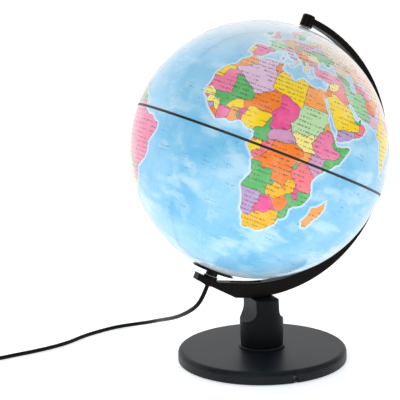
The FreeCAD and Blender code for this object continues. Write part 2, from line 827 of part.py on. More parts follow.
def plug_relief():
    """The tapered strain relief behind the plug, with grooves round it that let it bend."""
    tip = Vector(plug_back - relief_length, plug_centre.y, plug_axis_height)
    cone = Part.makeCone(relief_tip_radius, relief_root_radius, relief_length, tip, ALONG)
    groove_count = 5
    pitch = relief_length / (groove_count + 1)
    for index in range(groove_count):
        place = tip + Vector((index + 1) * pitch - 0.6, 0, 0)
        groove = Part.makeCylinder(relief_root_radius + 1, 1.2, place, ALONG)
        cone = cone.cut(groove.cut(Part.makeCylinder(cord_radius + 0.5, 1.2, place, ALONG)))
    return cone


nodes = {
    "base_shell": base_shell(),
    "ballast_plate": ballast_plate(),
    "ballast_screws": ballast_screws(),
    "foot_pads": foot_pads(),
    "pedestal": pedestal(),
    "pedestal_screws": pedestal_screws(),
    "arm_screw": arm_screw(),
    "meridian_arm": meridian_arm(),
    "north_cap": north_cap(),
    "north_pin": north_pin(),
    "north_bush": north_bush(),
    "north_half": north_half(),
    "south_half": south_half(),
    "seam_band": seam_band(),
    "joining_ring": joining_ring(),
    "south_flange": south_flange(),
    "south_bush": south_bush(),
    "thrust_washer": thrust_washer(),
    "lamp_tube": lamp_tube(),
    "tube_nut": tube_nut(),
    "cord_gland": cord_gland(),
    "inner_lead": inner_lead(),
    "lamp_holder": lamp_holder(),
    "lamp_sleeve": lamp_sleeve(),
    "lamp_contact": lamp_contact(),
    "bulb_cap": bulb_cap(),
    "bulb_glass": bulb_glass(),
    "power_cord": cord_tube("power_cord", cord_route()),
    "switch_lower_case": switch_lower_case(),
    "switch_upper_case": switch_upper_case(),
    "switch_rocker": switch_rocker(),
    "switch_screws": switch_screws(),
    "switch_cord": cord_tube("switch_cord", switch_route()),
    "cord_coil": cord_coil(),
    "coil_tie": coil_tie(),
    "plug_cord": cord_tube("plug_cord", plug_route()),
    "plug_relief": plug_relief(),
    "plug_body": plug_body(),
    "plug_pins": plug_pins(),
}

os.makedirs("parts", exist_ok=True)
for name, shape in nodes.items():
    print(name, "valid", shape.isValid(), "solids", len(shape.Solids), "volume", round(shape.Volume, 1))
    shape.exportStep("parts/" + name + ".step")
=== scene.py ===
import math

import bmesh
import bpy
from mathutils import Matrix, Vector, noise


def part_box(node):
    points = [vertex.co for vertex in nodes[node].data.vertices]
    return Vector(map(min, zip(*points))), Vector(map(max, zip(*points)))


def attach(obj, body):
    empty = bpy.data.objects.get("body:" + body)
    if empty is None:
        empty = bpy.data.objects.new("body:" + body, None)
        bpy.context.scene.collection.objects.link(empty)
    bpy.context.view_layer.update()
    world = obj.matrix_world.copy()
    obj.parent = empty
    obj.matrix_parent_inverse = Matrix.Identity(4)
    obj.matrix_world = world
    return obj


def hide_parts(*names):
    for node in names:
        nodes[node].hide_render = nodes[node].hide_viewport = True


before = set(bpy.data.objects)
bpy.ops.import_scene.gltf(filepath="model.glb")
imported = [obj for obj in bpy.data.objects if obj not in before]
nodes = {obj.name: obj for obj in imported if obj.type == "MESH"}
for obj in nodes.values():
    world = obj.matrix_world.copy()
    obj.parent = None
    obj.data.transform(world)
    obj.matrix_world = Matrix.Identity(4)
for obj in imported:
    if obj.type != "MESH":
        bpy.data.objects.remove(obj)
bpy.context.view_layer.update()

# ---- charcoal base and pedestal ----
# The foot is a heavy disc moulded in charcoal plastic with a fine spark-eroded grain, and the pedestal stands on it.
# Both are dry and slightly blue.


def new_material(name):
    """A fresh node material with its shader: every finish below starts from one."""
    material = bpy.data.materials.new(name)
    material.use_nodes = True
    return material, material.node_tree.nodes, material.node_tree.links, material.node_tree.nodes["Principled BSDF"]


def object_noise(tree_nodes, links, scale, detail, roughness=0.5):
    """A noise that stays fixed to the piece."""
    where = tree_nodes.new("ShaderNodeTexCoord")
    texture = tree_nodes.new("ShaderNodeTexNoise")
    texture.inputs["Scale"].default_value = scale
    texture.inputs["Detail"].default_value = detail
    texture.inputs["Roughness"].default_value = roughness
    links.new(where.outputs["Object"], texture.inputs["Vector"])
    return texture.outputs["Fac"]


def spread(tree_nodes, links, source, low, high, target):
    """Takes a noise to a range of values."""
    ramp = tree_nodes.new("ShaderNodeMapRange")
    ramp.inputs["From Min"].default_value = 0.3
    ramp.inputs["From Max"].default_value = 0.7
    ramp.inputs["To Min"].default_value = low
    ramp.inputs["To Max"].default_value = high
    links.new(source, ramp.inputs["Value"])
    links.new(ramp.outputs["Result"], target)


def two_tone(tree_nodes, links, source, dark, light, target):
    """Mixes two close colours by a noise."""
    ramp = tree_nodes.new("ShaderNodeValToRGB")
    ramp.color_ramp.elements[0].position = 0.35
    ramp.color_ramp.elements[1].position = 0.65
    ramp.color_ramp.elements[0].color = (*dark, 1)
    ramp.color_ramp.elements[1].color = (*light, 1)
    links.new(source, ramp.inputs["Fac"])
    links.new(ramp.outputs["Color"], target)


def grained(name, colour, roughness, grain_scale, grain_height, metal=0.0, coat=0.0, specular=0.5):
    """A moulded, drawn or cast finish: a slow drift of tone, a fine grain in the surface and uneven gloss."""
    material, tree_nodes, links, shader = new_material(name)
    drift = object_noise(tree_nodes, links, 55, 4)
    grain = object_noise(tree_nodes, links, grain_scale, 3, 0.6)
    two_tone(tree_nodes, links, drift, [0.86 * c for c in colour], [min(1.0, 1.14 * c) for c in colour], shader.inputs["Base Color"])
    spread(tree_nodes, links, grain, roughness - 0.05, roughness + 0.07, shader.inputs["Roughness"])
    shader.inputs["Metallic"].default_value = metal
    shader.inputs["Coat Weight"].default_value = coat
    shader.inputs["Coat Roughness"].default_value = 0.15
    shader.inputs["Specular IOR Level"].default_value = specular
    bump = tree_nodes.new("ShaderNodeBump")
    bump.inputs["Strength"].default_value = 0.5
    bump.inputs["Distance"].default_value = grain_height
    links.new(grain, bump.inputs["Height"])
    links.new(bump.outputs["Normal"], shader.inputs["Normal"])
    return material


def finish_nodes(material, *names):
    """Gives CAD pieces their finish."""
    for name in names:
        mesh = nodes[name].data
        mesh.materials.clear()
        mesh.materials.append(material)


charcoal = grained("charcoal_grain", (0.0095, 0.0110, 0.0140), 0.42, 1900, 0.00006, specular=0.22)
finish_nodes(charcoal, "base_shell")
finish_nodes(grained("charcoal_pedestal", (0.0056, 0.0066, 0.0090), 0.46, 1900, 0.00006, specular=0.16), "pedestal")

# ---- ballast, screws and pads ----
# A zinc-plated steel disc makes the foot heavy, and plated screws hold it, the pedestal and the arm.
# Soft black pads under it keep it from sliding.

zinc_plate = grained("zinc_plate", (0.50, 0.51, 0.53), 0.34, 420, 0.00004, metal=1.0)
zinc_screw = grained("zinc_screw", (0.58, 0.57, 0.54), 0.28, 900, 0.00002, metal=1.0)
finish_nodes(zinc_plate, "ballast_plate")
finish_nodes(zinc_screw, "ballast_screws", "pedestal_screws", "arm_screw", "switch_screws", "tube_nut")
finish_nodes(grained("pad_foam", (0.030, 0.030, 0.031), 0.85, 2600, 0.00012, specular=0.3), "foot_pads")

# ---- arm and cap ----
# The C-shaped arm is one satin black moulding, smoother than the base, and its round cap is the same plastic.

arm_black = grained("arm_black", (0.0075, 0.0050, 0.0036), 0.38, 1300, 0.00003, specular=0.10)
finish_nodes(arm_black, "meridian_arm", "north_cap")

# ---- bearings and lamp tube ----
# The ball turns on a bright steel pin above and on a blackened steel tube below, in dark self-lubricating bushes.

finish_nodes(grained("bright_pin", (0.62, 0.62, 0.61), 0.22, 700, 0.00002, metal=1.0), "north_pin")
finish_nodes(grained("tube_black", (0.0044, 0.0034, 0.0028), 0.34, 1300, 0.00003, specular=0.15), "lamp_tube")
finish_nodes(grained("bush_black", (0.0050, 0.0040, 0.0035), 0.36, 1300, 0.00004, specular=0.2), "north_bush", "south_bush")
finish_nodes(grained("flange_black", (0.0050, 0.0038, 0.0032), 0.30, 1300, 0.00003, specular=0.2), "south_flange")
finish_nodes(grained("slip_washer", (0.78, 0.77, 0.73), 0.45, 900, 0.00002), "thrust_washer")

# ---- lamp ----
# A white heat-proof holder with brass contacts carries a frosted bulb with an aluminium cap, all inside the ball.

finish_nodes(grained("holder_white", (0.80, 0.79, 0.74), 0.35, 900, 0.00003), "lamp_holder")
finish_nodes(grained("ring_white", (0.84, 0.84, 0.82), 0.45, 900, 0.00004), "joining_ring")
finish_nodes(grained("stamped_brass", (0.75, 0.55, 0.22), 0.25, 500, 0.00002, metal=1.0), "lamp_sleeve", "lamp_contact")
finish_nodes(grained("lamp_cap_aluminium", (0.70, 0.70, 0.71), 0.30, 500, 0.00003, metal=1.0), "bulb_cap")


def frosted_glass():
    """Milky glass that glows evenly."""
    material, tree_nodes, links, shader = new_material("frosted_glass")
    frost = object_noise(tree_nodes, links, 1500, 2)
    two_tone(tree_nodes, links, frost, (0.93, 0.90, 0.82), (0.98, 0.96, 0.90), shader.inputs["Base Color"])
    spread(tree_nodes, links, frost, 0.45, 0.6, shader.inputs["Roughness"])
    shader.inputs["Emission Color"].default_value = (1.0, 0.93, 0.80, 1)
    shader.inputs["Emission Strength"].default_value = 1.5
    return material


finish_nodes(frosted_glass(), "bulb_glass")

# ---- ball ----
# The ball is two thin plastic shells, lacquered to a high gloss and lit from inside. The sea is printed on them
# in pale blue with lighter shelves and currents, and fine lines mark every fifteen degrees.

axis_tilt = math.radians(23.5)
seam_low, seam_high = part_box("seam_band")
band_thickness = 0.00035
ball_centre = (seam_low + seam_high) / 2
ball_radius = (seam_high.y - seam_low.y) / 2 - band_thickness
map_turn = math.radians(126.5)
# ball_glow is the strength of a painted glow on the print, standing in for the lamp's light coming through the shell.
ball_glow = 0.30


def printed_colour(red, green, blue):
    """A colour given as a printer's screen values, from 0 to 255."""
    return tuple((value / 255) ** 2.2 for value in (red, green, blue))


def calculate(tree_nodes, links, operation, first, second=0.0, clamp=False):
    """One arithmetic step on a value in a material."""
    step = tree_nodes.new("ShaderNodeMath")
    step.operation = operation
    step.use_clamp = clamp
    for socket, value in zip(step.inputs, (first, second)):
        if isinstance(value, float):
            socket.default_value = value
        else:
            links.new(value, socket)
    return step.outputs["Value"]


def laid_over(tree_nodes, links, cover, below, above):
    """Prints one colour over another, as densely as cover says."""
    mix = tree_nodes.new("ShaderNodeMix")
    mix.data_type = "RGBA"
    colours = [socket for socket in mix.inputs if socket.type == "RGBA"]
    for socket, value in zip([mix.inputs["Factor"]] + colours, (cover, below, above)):
        if isinstance(value, (float, tuple)):
            socket.default_value = value if isinstance(value, float) else (*value, 1)
        else:
            links.new(value, socket)
    return [socket for socket in mix.outputs if socket.type == "RGBA"][0]


def fade(tree_nodes, links, source, start, end, strength=1.0):
    """Rises from nothing at start to full strength at end."""
    ramp = tree_nodes.new("ShaderNodeMapRange")
    ramp.interpolation_type = "SMOOTHSTEP"
    ramp.inputs["From Min"].default_value = start
    ramp.inputs["From Max"].default_value = end
    ramp.inputs["To Max"].default_value = strength
    links.new(source, ramp.inputs["Value"])
    return ramp.outputs["Result"]


def map_position(tree_nodes, links):
    """The place on the ball, measured from its centre with north along Z and the prime meridian along X."""
    where = tree_nodes.new("ShaderNodeTexCoord")
    centred = tree_nodes.new("ShaderNodeVectorMath")
    centred.operation = "SUBTRACT"
    centred.inputs[1].default_value = ball_centre
    links.new(where.outputs["Object"], centred.inputs[0])
    position = centred.outputs["Vector"]
    for axis, angle in (("Y_AXIS", -axis_tilt), ("Z_AXIS", map_turn)):
        turned = tree_nodes.new("ShaderNodeVectorRotate")
        turned.rotation_type = axis
        turned.inputs["Angle"].default_value = angle
        links.new(position, turned.inputs["Vector"])
        position = turned.outputs["Vector"]
    return position


def map_noise(tree_nodes, links, position, scale, detail, stretch=(1, 1, 1)):
    """A noise over the map, drawn out along chosen axes."""
    mapping = tree_nodes.new("ShaderNodeMapping")
    mapping.inputs["Scale"].default_value = stretch
    texture = tree_nodes.new("ShaderNodeTexNoise")
    texture.inputs["Scale"].default_value = scale
    texture.inputs["Detail"].default_value = detail
    links.new(position, mapping.inputs["Vector"])
    links.new(mapping.outputs["Vector"], texture.inputs["Vector"])
    return texture.outputs["Fac"]


def degrees_on_map(tree_nodes, links, position):
    """Longitude and latitude in degrees, and the shortening of a degree of longitude."""
    parts = tree_nodes.new("ShaderNodeSeparateXYZ")
    links.new(position, parts.inputs["Vector"])
    angle = calculate(tree_nodes, links, "ARCTAN2", parts.outputs["Y"], parts.outputs["X"])
    longitude = calculate(tree_nodes, links, "DEGREES", angle)
    sine = calculate(tree_nodes, links, "DIVIDE", parts.outputs["Z"], ball_radius)
    latitude = calculate(tree_nodes, links, "DEGREES", calculate(tree_nodes, links, "ARCSINE", sine))
    shortening = calculate(tree_nodes, links, "COSINE", calculate(tree_nodes, links, "RADIANS", latitude))
    return longitude, latitude, shortening


def printed_marks(tree_nodes, links, position, surface, ink, mark_amount, sparse):
    """Adds the fifteen-degree lines and rows of tiny broken strokes that stand for names, with nothing to read."""
    longitude, latitude, shortening = degrees_on_map(tree_nodes, links, position)
    from_meridian = calculate(tree_nodes, links, "PINGPONG", longitude, 7.5)
    from_meridian = calculate(tree_nodes, links, "MULTIPLY", from_meridian, shortening)
    from_parallel = calculate(tree_nodes, links, "PINGPONG", latitude, 7.5)
    nearest = calculate(tree_nodes, links, "MINIMUM", from_meridian, from_parallel)
    surface = laid_over(tree_nodes, links, fade(tree_nodes, links, nearest, 0.16, 0.06, 0.14), surface, ink)
    row_offset = calculate(tree_nodes, links, "PINGPONG", latitude, 0.95)
    in_row = fade(tree_nodes, links, row_offset, 0.42, 0.30)
    strokes = map_noise(tree_nodes, links, position, 950, 1, (1, 1, 0.35))
    stroke = fade(tree_nodes, links, strokes, 0.47, 0.53)
    patches = map_noise(tree_nodes, links, position, 62, 1, (1, 1, 2.6))
    patch = fade(tree_nodes, links, patches, sparse, sparse + 0.04, mark_amount)
    cover = calculate(tree_nodes, links, "MULTIPLY", calculate(tree_nodes, links, "MULTIPLY", in_row, stroke), patch)
    return laid_over(tree_nodes, links, cover, surface, ink)


def lacquered(name):
    """The clear lacquer over the print, with a painted glow in the print's own colour that stands in for the lamp's
    light coming through the shell.
    """
    material, tree_nodes, links, shader = new_material(name)
    shader.inputs["Roughness"].default_value = 0.35
    shader.inputs["Specular IOR Level"].default_value = 0.1
    shader.inputs["Coat Weight"].default_value = 1.0
    shader.inputs["Coat Roughness"].default_value = 0.10
    shader.inputs["Coat IOR"].default_value = 1.5
    shader.inputs["Sheen Weight"].default_value = 0.45
    shader.inputs["Sheen Roughness"].default_value = 0.35
    shader.inputs["Emission Strength"].default_value = ball_glow
    return material, tree_nodes, links, shader


def sea_colour(tree_nodes, links, position):
    """Deep water, lighter currents drawn out along the parallels, and pale shelves."""
    depth = map_noise(tree_nodes, links, position, 17, 5)
    current = map_noise(tree_nodes, links, position, 26, 6, (1, 1, 2.4))
    ridge = map_noise(tree_nodes, links, position, 60, 7)
    deep = printed_colour(112, 190, 232)
    middle = printed_colour(146, 207, 242)
    pale = printed_colour(190, 228, 248)
    water = laid_over(tree_nodes, links, fade(tree_nodes, links, depth, 0.36, 0.62), deep, middle)
    water = laid_over(tree_nodes, links, fade(tree_nodes, links, current, 0.50, 0.70, 0.75), water, pale)
    return laid_over(tree_nodes, links, fade(tree_nodes, links, ridge, 0.52, 0.66, 0.35), water, pale)


def painted_top_glare(tree_nodes, links, position, surface, amount):
    """A painted highlight: the print is whitened from the Mediterranean towards the pole, standing in for glare on the
    top of the ball.
    """
    parts = tree_nodes.new("ShaderNodeSeparateXYZ")
    links.new(position, parts.inputs["Vector"])
    height = calculate(tree_nodes, links, "DIVIDE", parts.outputs["Z"], ball_radius)
    glare_white = printed_colour(240, 247, 251)
    return laid_over(tree_nodes, links, fade(tree_nodes, links, height, 0.38, 0.95, amount), surface, glare_white)


def colour_and_glow(links, shader, colour):
    """The print shows its colour in the room's light, and the same colour is emitted as a painted glow for the lamp's
    light through the shell.
    """
    links.new(colour, shader.inputs["Base Color"])
    links.new(colour, shader.inputs["Emission Color"])


def printed_sea(name, shore=False):
    """The sea. Near land it fades to a pale rim, which the shore pieces carry as an attribute."""
    material, tree_nodes, links, shader = lacquered(name)
    position = map_position(tree_nodes, links)
    # The sea is whitened towards the top by a painted highlight.
    colour = painted_top_glare(tree_nodes, links, position, sea_colour(tree_nodes, links, position), 0.75)
    if shore:
        attribute = tree_nodes.new("ShaderNodeAttribute")
        attribute.attribute_name = "shore"
        rim = fade(tree_nodes, links, attribute.outputs["Fac"], 0.0, 1.0, 0.85)
        colour = laid_over(tree_nodes, links, rim, colour, printed_colour(228, 243, 251))
    marks = printed_colour(70, 110, 150)
    colour_and_glow(links, shader, printed_marks(tree_nodes, links, position, colour, marks, 0.45, 0.64))
    return material


def printed_ink(name, colour):
    """One ink of the land: a little uneven, paler on high ground, whitened towards the top by a painted highlight, with
    the small marks of a map over it.
    """
    material, tree_nodes, links, shader = lacquered(name)
    position = map_position(tree_nodes, links)
    uneven = map_noise(tree_nodes, links, position, 120, 5)
    light = tuple(value + 0.16 * (1 - value) for value in colour)
    surface = laid_over(tree_nodes, links, fade(tree_nodes, links, uneven, 0.42, 0.70, 0.45), colour, light)
    # The land is whitened towards the top by a painted highlight.
    surface = painted_top_glare(tree_nodes, links, position, surface, 0.55)
    marks = tuple(0.22 * value + 0.03 for value in colour)
    colour_and_glow(links, shader, printed_marks(tree_nodes, links, position, surface, marks, 0.75, 0.44))
    return material


finish_nodes(printed_sea("printed_sea"), "north_half", "south_half")
finish_nodes(grained("band_black", (0.020, 0.020, 0.023), 0.40, 1300, 0.00003), "seam_band")

# ---- printed land ----
# Each country is one flat patch of ink with a thin dark border, printed over the sea. The outlines are simplified,
# in degrees of longitude and latitude, and every coast and border is roughened a little in the same way.

inks = {
    "lilac": (224, 190, 220), "orchid": (208, 150, 190), "violet": (188, 156, 205), "rose": (240, 128, 168),
    "magenta": (240, 84, 148), "coral": (247, 120, 130), "orange": (248, 130, 46), "amber": (252, 164, 82),
    "sand": (246, 206, 168), "lemon": (248, 234, 136), "yellow": (250, 214, 24), "gold": (244, 186, 28),
    "green": (92, 182, 104), "pale_green": (186, 222, 170), "mint": (156, 212, 158), "ice": (205, 226, 243),
}

